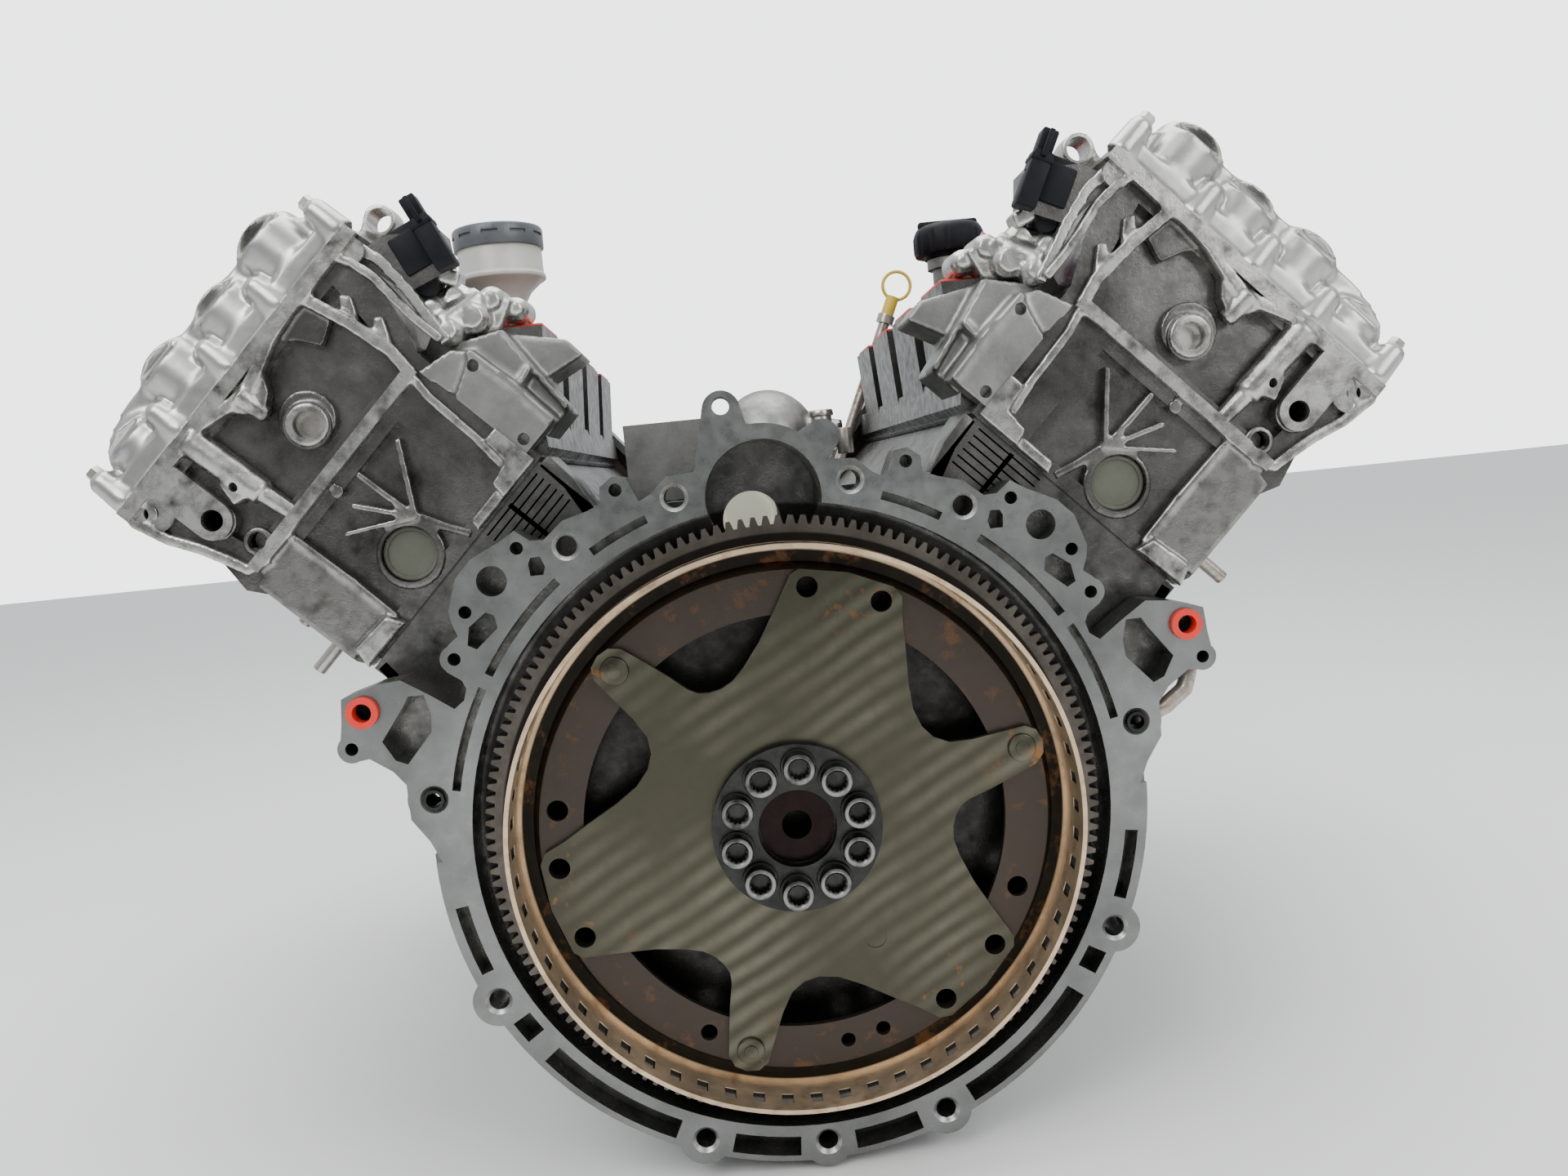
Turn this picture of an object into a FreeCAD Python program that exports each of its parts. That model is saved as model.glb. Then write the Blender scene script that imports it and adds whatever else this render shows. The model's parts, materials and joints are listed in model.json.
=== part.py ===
import FreeCAD, Part
import math
import os

os.makedirs("parts", exist_ok=True)

# Millimetres. The crank axis is Y, +Z is up, and the rear bell flange lies in the plane Y = 0.
# Bank shapes are drawn upright: X = v, towards the valley, and Z = u, along the cylinders.
BANK_ANGLE = 45.0
BORE_R = 48.0
THROW = 41.5
ROD_LENGTH = 153.0
COMPRESSION = 37.5
DECK_U = ROD_LENGTH + THROW + COMPRESSION
SPACING = 108.0
MAIN_0 = 49.0
PIN_0 = MAIN_0 + SPACING / 2
BANK_OFFSET = 20.0
REAR_Y = 22.0
FRONT_Y = 507.0
COVER_Y = 567.0
MAIN_R = 32.0
PIN_R = 26.0
NOSE_R = 11.5
SHELL_R = 36.0
PIN_ANGLES = (0.0, 90.0, 270.0, 180.0)
PAN_BOTTOM = -200.0
RAIL_Z = -70.0

HEAD_U = DECK_U + 1.2
HEAD_REAR = 26.0
HEAD_TOP = 391.0
HEAD_FLOOR = 345.0
CAM_U = 384.0
CAM_V = 44.0
CAM_BASE = 16.0
CAM_NOSE = 8.0
CAM_THROW = 16.0
JOURNAL_R = 13.0
VALVE_TILT = 10.0
VALVE_PITCH = 20.0
SEAT_T = 143.0
LASH = 0.1
TAPPET_R = 15.5
PORT_Z = 286.0

CHAIN_PITCH = 7.0
CRANK_TEETH = 16
CHAIN_CRANK_R = CHAIN_PITCH / 2 / math.sin(math.pi / CRANK_TEETH)
CHAIN_CAM_R = CHAIN_PITCH / 2 / math.sin(math.pi / (2 * CRANK_TEETH))
CHAIN_HALF = 3.0
CHAIN_Y = {"left": 516.0, "right": 534.0}
CHAIN_WIDTH = 9.0

BELL_R = 173.0
FLANGE_R = 193.5
WALL_R = 198.0
STARTER_R = 30.8
STARTER_Z = 176.0
RIM_R = 152.4
GEAR_TEETH = 155
GEAR_MODULE = 2.1167
BOLT_PCD_R = 33.9
BOLT_COUNT = 10
RIVET_R = 128.0
PILOT_R = 8.0

FLANGE_BOLTS = ((46.6, 180.7), (105.4, 161.1), (170.2, -80.2), (67.5, -173.7))
DOWELS = (190.1, 34.5)
TAPPED = ((76.7, 187.6), (131.0, 162.7), (161.6, 132.1), (170.3, 108.0), (229.2, 66.2))
OIL_PORT = (220.7, 85.2)
BOTTOM_LUG = (0.0, -183.5)
TOP_LUG = (-17.5, 225.6)
BREATHER_XY = (-167.0, 275.0)
FILLER_XY = (164.0, 255.0)
DIP_TOP = (150.0, 490.0, 325.0)
DIP_LOW = (80.3, 490.0, 166.6)
SIDES = ("left", "right")

V = FreeCAD.Vector
ORIGIN = V(0, 0, 0)
Y_AXIS = V(0, 1, 0)


def cyl(radius, y0, y1, x=0.0, z=0.0):
    return Part.makeCylinder(radius, y1 - y0, V(x, y0, z), Y_AXIS)


def tube(outer, inner, y0, y1, x=0.0, z=0.0):
    return cyl(outer, y0, y1, x, z).cut(cyl(inner, y0 - 1, y1 + 1, x, z))


def box(x0, x1, y0, y1, z0, z1):
    return Part.makeBox(x1 - x0, y1 - y0, z1 - z0, V(x0, y0, z0))


def prism(points, y0, y1):
    corners = [V(x, y0, z) for x, z in points]
    face = Part.Face(Part.makePolygon(corners + [corners[0]]))
    return face.extrude(V(0, y1 - y0, 0))


def rod_between(a, b, radius):
    start = V(*a)
    run = V(*b) - start
    return Part.makeCylinder(radius, run.Length, start, run)


def joined(shapes):
    first = shapes[0]
    if len(shapes) == 1:
        return first
    return first.multiFuse(shapes[1:]).removeSplitter()


def mirrored(points):
    return [(-x, z) for x, z in reversed(points)]


def both_sides(points):
    return [(x, z) for x, z in points] + [(-x, z) for x, z in points]


def place(shape, side):
    moved = shape.copy()
    if side == "right":
        moved = moved.mirror(ORIGIN, V(1, 0, 0))
    moved.rotate(ORIGIN, Y_AXIS, -BANK_ANGLE if side == "left" else BANK_ANGLE)
    return moved


def shift_of(side):
    return BANK_OFFSET if side == "left" else 0.0


def cylinder_y(index, side):
    return PIN_0 + index * SPACING - BANK_OFFSET / 2 + shift_of(side)


def pin_xz(index):
    angle = math.radians(PIN_ANGLES[index])
    return THROW * math.sin(angle), THROW * math.cos(angle)


def pin_uv(index, side):
    x, z = pin_xz(index)
    sign = -1.0 if side == "left" else 1.0
    root = math.sqrt(0.5)
    return root * (sign * x + z), root * (z - sign * x)


def gudgeon_u(index, side):
    u, v = pin_uv(index, side)
    return u + math.sqrt(ROD_LENGTH ** 2 - v ** 2)


def save(name, shapes):
    solids = []
    for shape in shapes:
        solids.extend(shape.Solids)
    target = solids[0] if len(solids) == 1 else Part.makeCompound(solids)
    target.exportStep("parts/" + name + ".step")


def tangent_quad(a, b):
    ax, az, ar = a
    bx, bz, br = b
    length = math.hypot(bx - ax, bz - az)
    heading = math.atan2(bz - az, bx - ax)
    lean = math.acos((ar - br) / length)
    points = []
    corners = ((ax, az, ar, lean), (bx, bz, br, lean), (bx, bz, br, -lean), (ax, az, ar, -lean))
    for cx, cz, radius, turn in corners:
        points.append((cx + radius * math.cos(heading + turn), cz + radius * math.sin(heading + turn)))
    return points


def hull(discs, y0, y1):
    shapes = [cyl(radius, y0, y1, x, z) for x, z, radius in discs]
    count = len(discs)
    for first in range(count):
        second = (first + 1) % count
        if second == first or (count == 2 and first == 1):
            continue
        shapes.append(prism(tangent_quad(discs[first], discs[second]), y0, y1))
    if count > 2:
        shapes.append(prism([(x, z) for x, z, radius in discs], y0, y1))
    return joined(shapes)


# ---------------------------------------------------------------- block and bedplate

BANK_SECTION = [(-82.0, 60.0), (-82.0, DECK_U), (61.0, DECK_U), (61.0, 30.0), (0.0, 0.0), (-60.0, 0.0)]
FLANGE_OUTLINE = [(0.0, 205.0), (34.3, 193.0), (50.1, 191.9), (58.5, 183.8), (65.1, 180.5), (70.9, 193.9),
                  (77.8, 194.8), (84.7, 189.8), (85.3, 181.2), (92.9, 178.1), (105.9, 174.6), (116.7, 165.5),
                  (123.7, 165.9), (131.2, 172.0), (140.0, 166.6), (146.7, 163.6), (155.7, 159.2),
                  (164.4, 150.3), (170.1, 133.5), (169.2, 126.7), (166.8, 120.0), (172.3, 115.9),
                  (177.6, 107.1), (174.8, 101.6), (167.8, 96.5), (165.9, 92.0), (167.8, 85.9),
                  (173.4, 81.8), (185.9, 91.0), (199.6, 100.1), (212.5, 98.8), (231.2, 93.2),
                  (232.7, 80.1), (235.4, 65.6), (229.0, 59.1), (220.6, 60.0), (209.3, 51.8),
                  (203.5, 44.0), (203.5, 25.0), (195.0, 12.0), (190.0, 0.0)]


FLANGE_POCKETS = (
    ([(188.3, 91.0), (196.6, 91.1), (199.8, 86.0), (213.0, 68.5), (207.3, 57.7), (201.2, 55.0),
      (186.8, 70.9), (185.8, 80.4)], 17.0),
    ([(146.8, 129.0), (151.2, 130.9), (160.5, 124.1), (162.4, 114.6), (157.9, 112.0), (145.8, 122.1)], 14.0),
    ([(119.5, 157.2), (124.5, 157.0), (126.0, 154.0), (125.5, 147.5), (118.7, 147.5), (117.4, 151.7)], 12.0))


def flange_upper():
    outline = FLANGE_OUTLINE + mirrored(FLANGE_OUTLINE)[:-1]
    plate = [prism(outline, 0, REAR_Y)]
    for x, z in both_sides(TAPPED[4:] + TAPPED[3:4]):
        plate.append(cyl(7.5, 0, REAR_Y, x, z))
    for x, z in both_sides([DOWELS]):
        plate.append(cyl(14.0, 0, REAR_Y, x, z))
    lug_x, lug_z = TOP_LUG
    plate.append(hull([(lug_x, lug_z - 2.0, 10.0), (lug_x, 196.0, 16.0)], 0, 14.0))
    plate.append(hull([(34.0, 205.0, 9.0), (24.0, 196.0, 12.0)], 0, 14.0))
    shape = joined(plate)
    shape = shape.cut(box(-300, 300, -1, REAR_Y + 1, -300, 0))
    return shape.cut(cyl(BELL_R, -1, REAR_Y + 1))


def arc_slot(radius, width, start, end, depth):
    ring = tube(radius + width / 2, radius - width / 2, -1, depth)
    reach = radius * 1.3
    wedge = [(0.0, 0.0)]
    steps = 6
    for step in range(steps + 1):
        angle = math.radians(start + (end - start) * step / steps)
        wedge.append((reach * math.sin(angle), reach * math.cos(angle)))
    return ring.common(prism(wedge, -1, depth))


def flange_cuts():
    tools = []
    for x, z in both_sides(FLANGE_BOLTS[:2]) + both_sides([DOWELS]):
        tools.append(cyl(5.5, -1, REAR_Y + 1, x, z))
        tools.append(Part.makeCone(7.5, 5.5, 2.0, V(x, 0, z), Y_AXIS))
    for x, z in both_sides(TAPPED):
        tools.append(cyl(3.4, -1, 18.0, x, z))
    for x, z in both_sides([(145.9, 146.9)]):
        tools.append(cyl(8.0, -1, 17.0, x, z))
    for x, z in both_sides([OIL_PORT]):
        tools.append(cyl(8.5, -1, 4.0, x, z))
        tools.append(cyl(6.0, -1, 16.0, x, z))
    tools.append(cyl(4.6, -1, 20.0, TOP_LUG[0], TOP_LUG[1]))
    for sign in (-1, 1):
        for start, end in ((20.0, 30.6), (38.0, 57.5), (60.0, 78.0)):
            low, high = sorted((sign * start, sign * end))
            tools.append(arc_slot(182.0, 4.5, low, high, 9.0))
        for points, depth in FLANGE_POCKETS:
            tools.append(prism([(sign * x, z) for x, z in points], -1, depth))
    return tools


def starter_barrel():
    barrel = cyl(39.0, 0, 62.0, 0, STARTER_Z)
    foot = box(-34.0, 34.0, REAR_Y, 62.0, 100.0, STARTER_Z)
    shape = barrel.fuse(foot)
    shape = shape.cut(cyl(BELL_R, -1, REAR_Y))
    shape = shape.cut(cyl(STARTER_R, -1, 54.0, 0, STARTER_Z))
    return shape.cut(cyl(16.5, -1, 70.0, -6.0, 163.0))


def bank_casting(side):
    y0 = HEAD_REAR + shift_of(side)
    upright = prism(BANK_SECTION, y0, FRONT_Y)
    ribs = []
    for index in range(5):
        y = y0 + 2 + index * 112.0
        ribs.append(box(-88.0, -80.0, y, y + 7.0, 90.0, 226.0))
    ribs.append(box(-88.0, -80.0, y0, FRONT_Y, 219.0, DECK_U))
    return place(joined([upright] + ribs), side)


def bank_bores(side):
    tools = []
    for index in range(4):
        y = cylinder_y(index, side)
        bore = Part.makeCylinder(BORE_R, 200.0, V(0, y, DECK_U - 160.0), V(0, 0, 1))
        tools.append(place(bore, side))
        jacket = Part.makeCylinder(3.0, 60.0, V(0, y + 54.0, DECK_U - 40.0), V(0, 0, 1))
        if index < 3:
            tools.append(place(jacket, side))
    for v, y in head_bolt_spots(side):
        tools.append(place(Part.makeCylinder(5.6, 82.0, V(v, y, DECK_U - 81.0), V(0, 0, 1)), side))
    return tools


def head_bolt_spots(side):
    first = cylinder_y(0, side) - SPACING / 2
    spots = []
    for index in range(5):
        for v in (-46.0, 46.0):
            step_in = 6.0 if index == 0 else 0.0
            spots.append((v, first + index * SPACING + step_in))
    return spots


def crank_room(y0, y1, upper):
    round_part = cyl(86.0, y0, y1)
    if upper:
        return round_part.common(box(-90, 90, y0, y1, 0, 90))
    return round_part.fuse(box(-86.0, 86.0, y0, y1, RAIL_Z - 5, 0))


def journal_cuts(half):
    tools = []
    for index in range(5):
        y = MAIN_0 + index * SPACING
        tools.append(cyl(SHELL_R, y - 14, y + 14))
    tools.append(cyl(55.0, REAR_Y - 12, REAR_Y + 11))
    tools.append(cyl(44.0, REAR_Y, MAIN_0 - 12))
    tools.append(cyl(44.0, MAIN_0 + 4 * SPACING + 12, FRONT_Y + 1))
    for index in range(4):
        y = MAIN_0 + index * SPACING
        tools.append(crank_room(y + 12, y + SPACING - 12, half == "upper"))
    return tools


def bedplate_bolt_spots():
    spots = []
    for index in range(5):
        y = MAIN_0 + index * SPACING
        for x in (-54.0, 54.0, -128.0, 128.0):
            spots.append((x, y))
    return spots


def engine_block():
    case_points = [(-150, 0), (-150, 36), (-60, 116), (60, 116), (150, 36), (150, 0)]
    crankcase = prism(case_points, REAR_Y, FRONT_Y)
    wall_points = [(-186, 0), (-196, 40), (-150, 140), (-60, 178)]
    wall_points += [(-x, z) for x, z in reversed(wall_points)]
    bell_wall = prism(wall_points, REAR_Y, 54.0)
    shapes = [crankcase, bell_wall, flange_upper(), starter_barrel()]
    shapes.append(bank_casting("left"))
    shapes.append(bank_casting("right"))
    shape = joined(shapes)
    shape = shape.cut(box(-400, 400, -1, 700, -300, 0))
    tools = flange_cuts() + journal_cuts("upper") + bank_bores("left") + bank_bores("right")
    tools.append(cyl(STARTER_R, -1, 54.0, 0, STARTER_Z))
    tools.append(cyl(16.5, -1, 70.0, -6.0, 163.0))
    for x, y in bedplate_bolt_spots():
        depth = 46.0 if abs(x) < 100 else 26.0
        tools.append(Part.makeCylinder(5.1, depth, V(x, y, -1), V(0, 0, 1)))
    shape = shape.cut(tools)
    for side in ("left", "right"):
        above = box(-150, 150, -1, 700, DECK_U, 400)
        shape = shape.cut(place(above, side).common(box(-400, 400, REAR_Y + 8, 700, 0, 500)))
    return shape


LOWER_SLOTS = ((185.0, 7.0, 98.0, 110.0), (183.5, 11.0, 119.8, 123.8), (184.5, 11.0, 128.0, 153.8),
               (184.8, 11.0, 163.6, 175.2))


def bedplate():
    body = box(-150, 150, REAR_Y, FRONT_Y, RAIL_Z, 0)
    ring = cyl(FLANGE_R, 0, REAR_Y)
    wall = cyl(WALL_R, REAR_Y - 6, REAR_Y + 8)
    lugs = []
    for x, z in both_sides(FLANGE_BOLTS[2:]) + [BOTTOM_LUG]:
        lugs.append(cyl(14.0, 0, REAR_Y, x, z))
    flange = joined([ring] + lugs).cut(cyl(BELL_R, -1, REAR_Y))
    shape = joined([body, flange, wall])
    shape = shape.cut(box(-400, 400, -5, 700, 0, 400))
    shape = shape.cut(cyl(BELL_R, -1, REAR_Y))
    tools = journal_cuts("lower")
    for x, z in both_sides(FLANGE_BOLTS[2:]) + [BOTTOM_LUG]:
        tools.append(cyl(5.5, -1, REAR_Y + 10, x, z))
        tools.append(Part.makeCone(7.5, 5.5, 2.0, V(x, 0, z), Y_AXIS))
    for sign in (-1, 1):
        for radius, width, start, end in LOWER_SLOTS:
            low, high = sorted((sign * start, sign * end))
            tools.append(arc_slot(radius, width, low, high, 14.0))
    for x, y in bedplate_bolt_spots():
        tools.append(Part.makeCylinder(5.1, 80.0, V(x, y, -75), V(0, 0, 1)))
    return shape.cut(tools)


def main_bearing_shells():
    shapes = []
    for index in range(5):
        y = MAIN_0 + index * SPACING
        ring = tube(SHELL_R, MAIN_R + 0.03, y - 12, y + 12)
        shapes.append(ring.common(box(-40, 40, y - 20, y + 20, 0, 40)))
        shapes.append(ring.common(box(-40, 40, y - 20, y + 20, -40, 0)))
    return shapes


def bedplate_bolts():
    shapes = []
    for x, y in bedplate_bolt_spots():
        top = 40.0 if abs(x) < 100 else 20.0
        shank = Part.makeCylinder(5.0, top - RAIL_Z, V(x, y, RAIL_Z), V(0, 0, 1))
        head = hex_prism(8.0, 8.0, V(x, y, RAIL_Z - 8.0), V(0, 0, 1))
        shapes.append(shank.fuse(head))
    return shapes


def hex_prism(across_radius, height, base, axis):
    points = []
    for index in range(6):
        angle = math.radians(60 * index)
        points.append(V(across_radius * math.cos(angle), across_radius * math.sin(angle), 0))
    solid = Part.Face(Part.makePolygon(points + [points[0]])).extrude(V(0, 0, height))
    turn = FreeCAD.Rotation(V(0, 0, 1), axis)
    solid.Placement = FreeCAD.Placement(base, turn)
    return solid


PAN_SECTION = [(-118.0, RAIL_Z), (-118.0, -120.0), (-100.0, -186.0), (-86.0, PAN_BOTTOM),
               (86.0, PAN_BOTTOM), (100.0, -186.0), (118.0, -120.0), (118.0, RAIL_Z)]


def oil_pan():
    outer = prism(PAN_SECTION, 54.0, 500.0)
    inner_points = [(x * 0.96, z if z == RAIL_Z else z + 5.0) for x, z in PAN_SECTION]
    inner = prism([(x, z + (1.0 if z == RAIL_Z else 0.0)) for x, z in inner_points], 60.0, 494.0)
    rim = box(-120, 120, 46, 504, RAIL_Z - 9, RAIL_Z)
    shape = outer.fuse(rim).cut(inner)
    tools = []
    for x, y in bedplate_bolt_spots():
        tools.append(Part.makeCylinder(10.0, 14.0, V(x, y, RAIL_Z - 13), V(0, 0, 1)))
    return shape.cut(tools)


def rear_main_seal():
    body = tube(55.0, 45.0, REAR_Y + 0.5, REAR_Y + 10.5)
    lip = tube(46.0, 42.05, REAR_Y + 4.0, REAR_Y + 7.0)
    return body.fuse(lip)


# ---------------------------------------------------------------- crankshaft and flexplate

def crank_web(y0, y1, index):
    x, z = pin_xz(index)
    arm = hull([(0.0, 0.0, 40.0), (x, z, 33.0)], y0, y1)
    weight = cyl(74.0, y0, y1).common(box(-62, 62, y0, y1, -80, -4))
    weight.rotate(ORIGIN, Y_AXIS, PIN_ANGLES[index])
    return arm.fuse(weight)


def crankshaft():
    shapes = [cyl(42.0, -2.0, MAIN_0 - 14)]
    for index in range(5):
        y = MAIN_0 + index * SPACING
        shapes.append(cyl(MAIN_R, y - 14.5, y + 14.5))
    for index in range(4):
        y = MAIN_0 + index * SPACING
        x, z = pin_xz(index)
        shapes.append(crank_web(y + 14, y + 34, index))
        shapes.append(crank_web(y + 74, y + 94, index))
        shapes.append(cyl(PIN_R, y + 33, y + 75, x, z))
    nose_start = MAIN_0 + 4 * SPACING + 14
    shapes.append(cyl(24.0, nose_start, FRONT_Y + 3))
    shapes.append(cyl(NOSE_R, FRONT_Y, COVER_Y + 34))
    shape = joined(shapes)
    tools = [cyl(20.0, -3, 6.0), cyl(15.0, 5.0, 24.0)]
    for x, z in bolt_circle():
        tools.append(cyl(5.05, -3, 22.0, x, z))
    return shape.cut(tools)


def bolt_circle():
    spots = []
    for index in range(BOLT_COUNT):
        angle = math.radians(5.9 + 360.0 * index / BOLT_COUNT)
        spots.append((BOLT_PCD_R * math.sin(angle), BOLT_PCD_R * math.cos(angle)))
    return spots


def polar(radius, degrees):
    angle = math.radians(degrees)
    return radius * math.sin(angle), radius * math.cos(angle)


RIVET_ANGLES = (-43.0, 77.0, 197.0)
DRIVE_ANGLES = (17.0, 137.0, -103.0)
STAR_EDGE = (
    (133.5, -4.6), (138.5, -2.8), (140.0, 0.0), (138.5, 2.8), (133.5, 4.8), (120.0, 6.6),
    (106.5, 8.7), (94.0, 10.8), (89.2, 12.7), (86.2, 15.8), (84.6, 20.0), (85.6, 25.0),
    (90.2, 30.2), (101.5, 37.3), (118.0, 43.0), (135.0, 47.0), (138.0, 49.0), (138.6, 60.0),
    (138.0, 70.5), (135.0, 73.0), (124.0, 75.5), (112.0, 79.7), (97.0, 86.5), (88.1, 93.5),
    (85.4, 100.4), (87.2, 106.0), (93.2, 110.3), (104.6, 112.8), (118.0, 114.2))


def flexplate_star():
    corners = []
    for angle in RIVET_ANGLES:
        for radius, offset in STAR_EDGE:
            corners.append(polar(radius, angle + offset))
    shape = prism(corners, -5.5, -2.0)
    tools = [cyl(21.0, -6, -1), cyl(6.0, -6, -5.0, 36.5, -67.0)]
    for x, z in bolt_circle():
        tools.append(cyl(5.4, -6, -1, x, z))
    for angle in DRIVE_ANGLES:
        for offset in (-9.0, 9.0):
            x, z = polar(128.5, angle + offset)
            tools.append(cyl(5.7, -6, -1, x, z))
    for angle in RIVET_ANGLES:
        x, z = polar(RIVET_R, angle)
        tools.append(cyl(4.05, -6, -1, x, z))
    return shape.cut(tools)


DISH = ((114.0, -2.0), (137.5, -2.0), (141.5, 4.8), (151.0, 4.8), (151.0, 8.0), (139.5, 8.0), (135.5, 1.5),
        (114.0, 1.5))
PLATE_HOLES = ((5.7, 128.0, -80.3), (5.7, 127.0, 112.8), (4.6, 125.8, -152.0), (4.0, 126.0, 163.3),
               (4.0, 126.0, 172.5))


def flexplate_rim():
    band = tube(RIM_R, RIM_R - 2.4, -24.0, 8.0)
    corners = [V(0, y, radius) for radius, y in DISH]
    plate = Part.Face(Part.makePolygon(corners + [corners[0]])).revolve(ORIGIN, Y_AXIS, 360)
    shape = band.fuse(plate)
    tools = []
    for index in range(60):
        window = box(-3.2, 3.2, -16.5, -7.5, RIM_R - 8, RIM_R + 4)
        window.rotate(ORIGIN, Y_AXIS, 6.0 * index + 1.7)
        tools.append(window)
    for angle in DRIVE_ANGLES:
        for offset in (-9.0, 9.0):
            x, z = polar(128.5, angle + offset)
            tools.append(cyl(5.7, -3, 3, x, z))
    for radius, reach, angle in PLATE_HOLES:
        x, z = polar(reach, angle)
        tools.append(cyl(radius, -3, 3, x, z))
    for angle in RIVET_ANGLES:
        x, z = polar(RIVET_R, angle)
        tools.append(cyl(4.05, -3, 3, x, z))
    return shape.cut(tools)


def ring_gear():
    pitch_r = GEAR_MODULE * GEAR_TEETH / 2
    tip = pitch_r + 0.98 * GEAR_MODULE
    root = pitch_r - 1.25 * GEAR_MODULE
    points = []
    for index in range(GEAR_TEETH):
        middle = 360.0 * index / GEAR_TEETH
        step = 360.0 / GEAR_TEETH
        for radius, offset in ((root, -0.36), (tip, -0.16), (tip, 0.16), (root, 0.36)):
            points.append(polar(radius, middle + offset * step))
    return prism(points, 0.0, 8.0).cut(cyl(RIM_R, -1, 12))


def flexplate_bolts():
    shapes = []
    for x, z in bolt_circle():
        shank = cyl(5.0, -11.5, 21.0, x, z)
        head = cyl(8.6, -20.5, -11.5, x, z)
        socket = cyl(5.0, -21.0, -14.5, x, z)
        shapes.append(shank.fuse(head).cut(socket))
    return shapes


def flexplate_washer():
    disc = tube(45.5, 21.0, -11.5, -5.5)
    return disc.cut([cyl(5.4, -12, -5, x, z) for x, z in bolt_circle()])


def flexplate_rivets():
    shapes = []
    for angle in RIVET_ANGLES:
        x, z = polar(RIVET_R, angle)
        shank = cyl(4.0, -5.5, 1.5, x, z)
        near = cyl(6.5, -8.0, -5.5, x, z)
        far = cyl(6.5, 1.5, 3.5, x, z)
        shapes.append(joined([shank, near, far]))
    return shapes


def pilot_bush():
    collar = cyl(19.95, -4.0, 5.9)
    sleeve = cyl(14.95, 5.9, 23.0)
    return collar.fuse(sleeve).cut(cyl(PILOT_R, -6, 24))


def crank_sprocket():
    shape = tube(20.5, NOSE_R + 0.05, FRONT_Y + 3.2, COVER_Y - 8)
    inner = CHAIN_CRANK_R - CHAIN_HALF - 0.2
    for side in ("left", "right"):
        y = CHAIN_Y[side]
        groove = tube(22.0, inner, y - 0.5, y + CHAIN_WIDTH + 0.5)
        shape = shape.cut(groove)
    return shape


def crank_damper():
    hub = cyl(22.0, COVER_Y - 7.5, COVER_Y + 36)
    disc = cyl(80.0, COVER_Y + 14, COVER_Y + 20)
    rim = tube(82.0, 66.0, COVER_Y + 8, COVER_Y + 36)
    shape = joined([hub, disc, rim])
    for index in range(6):
        y = COVER_Y + 12 + index * 4
        shape = shape.cut(tube(84.0, 79.5, y, y + 2.2))
    shape = shape.cut(cyl(NOSE_R + 0.05, COVER_Y - 10, COVER_Y + 34))
    bolt = hex_prism(14.0, 10.0, V(0, COVER_Y + 36, 0), Y_AXIS)
    return [shape, bolt]


# ---------------------------------------------------------------- rods and pistons

def rod(index, side):
    u, v = pin_uv(index, side)
    top = gudgeon_u(index, side)
    y = cylinder_y(index, side)
    y0, y1 = y - 9.8, y + 9.8
    big = cyl(37.0, y0, y1, v, u)
    small = cyl(16.0, y0, y1, 0.0, top)
    beam = hull([(v, u, 15.0), (0.0, top, 11.0)], y0 + 3, y1 - 3)
    shape = joined([big, small, beam])
    shape = shape.cut([cyl(PIN_R + 0.03, y0 - 1, y1 + 1, v, u), cyl(11.03, y0 - 1, y1 + 1, 0.0, top)])
    lean = math.degrees(math.atan2(-v, top - u))
    cap_side = box(v - 60, v + 60, y0 - 1, y1 + 1, u - 60, u)
    cap_side.rotate(V(v, 0, u), Y_AXIS, lean)
    return [place(shape.cut(cap_side), side), place(shape.common(cap_side), side)]


def piston(index, side):
    u = gudgeon_u(index, side)
    y = cylinder_y(index, side)
    up = V(0, 0, 1)
    body = Part.makeCylinder(BORE_R - 0.05, COMPRESSION + 22.0, V(0, y, u - 22.0), up)
    hollow = Part.makeCylinder(41.0, 48.0, V(0, y, u - 23.0), up)
    bosses = joined([cyl(18.0, y - 40, y + 40, 0, u), box(-18, 18, y - 40, y + 40, u, u + 26)])
    bosses = bosses.common(Part.makeCylinder(41.5, 70.0, V(0, y, u - 23.0), up))
    slot = box(-43, 43, y - 12, y + 12, u - 30, u + 25)
    shape = body.cut(hollow.cut(bosses)).cut(slot.common(hollow))
    shape = shape.cut(cyl(11.02, y - 60, y + 60, 0, u))
    shape = shape.cut(Part.makeCylinder(36.0, 2.0, V(0, y, u + COMPRESSION - 1.5), up))
    rings = []
    for drop in (5.0, 10.0, 15.0):
        base = u + COMPRESSION - drop
        groove = ring_z(60.0, 44.3, base, 1.7, y)
        shape = shape.cut(groove)
        rings.append(place(ring_z(BORE_R - 0.02, 44.5, base + 0.1, 1.5, y), side))
    pin = place(cyl(11.0, y - 30, y + 30, 0, u).cut(cyl(6.5, y - 31, y + 31, 0, u)), side)
    return [place(shape, side), pin] + rings


def ring_z(outer, inner, z, height, y):
    up = V(0, 0, 1)
    solid = Part.makeCylinder(outer, height, V(0, y, z), up)
    return solid.cut(Part.makeCylinder(inner, height + 2, V(0, y, z - 1), up))


# ---------------------------------------------------------------- heads and valve gear

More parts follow.
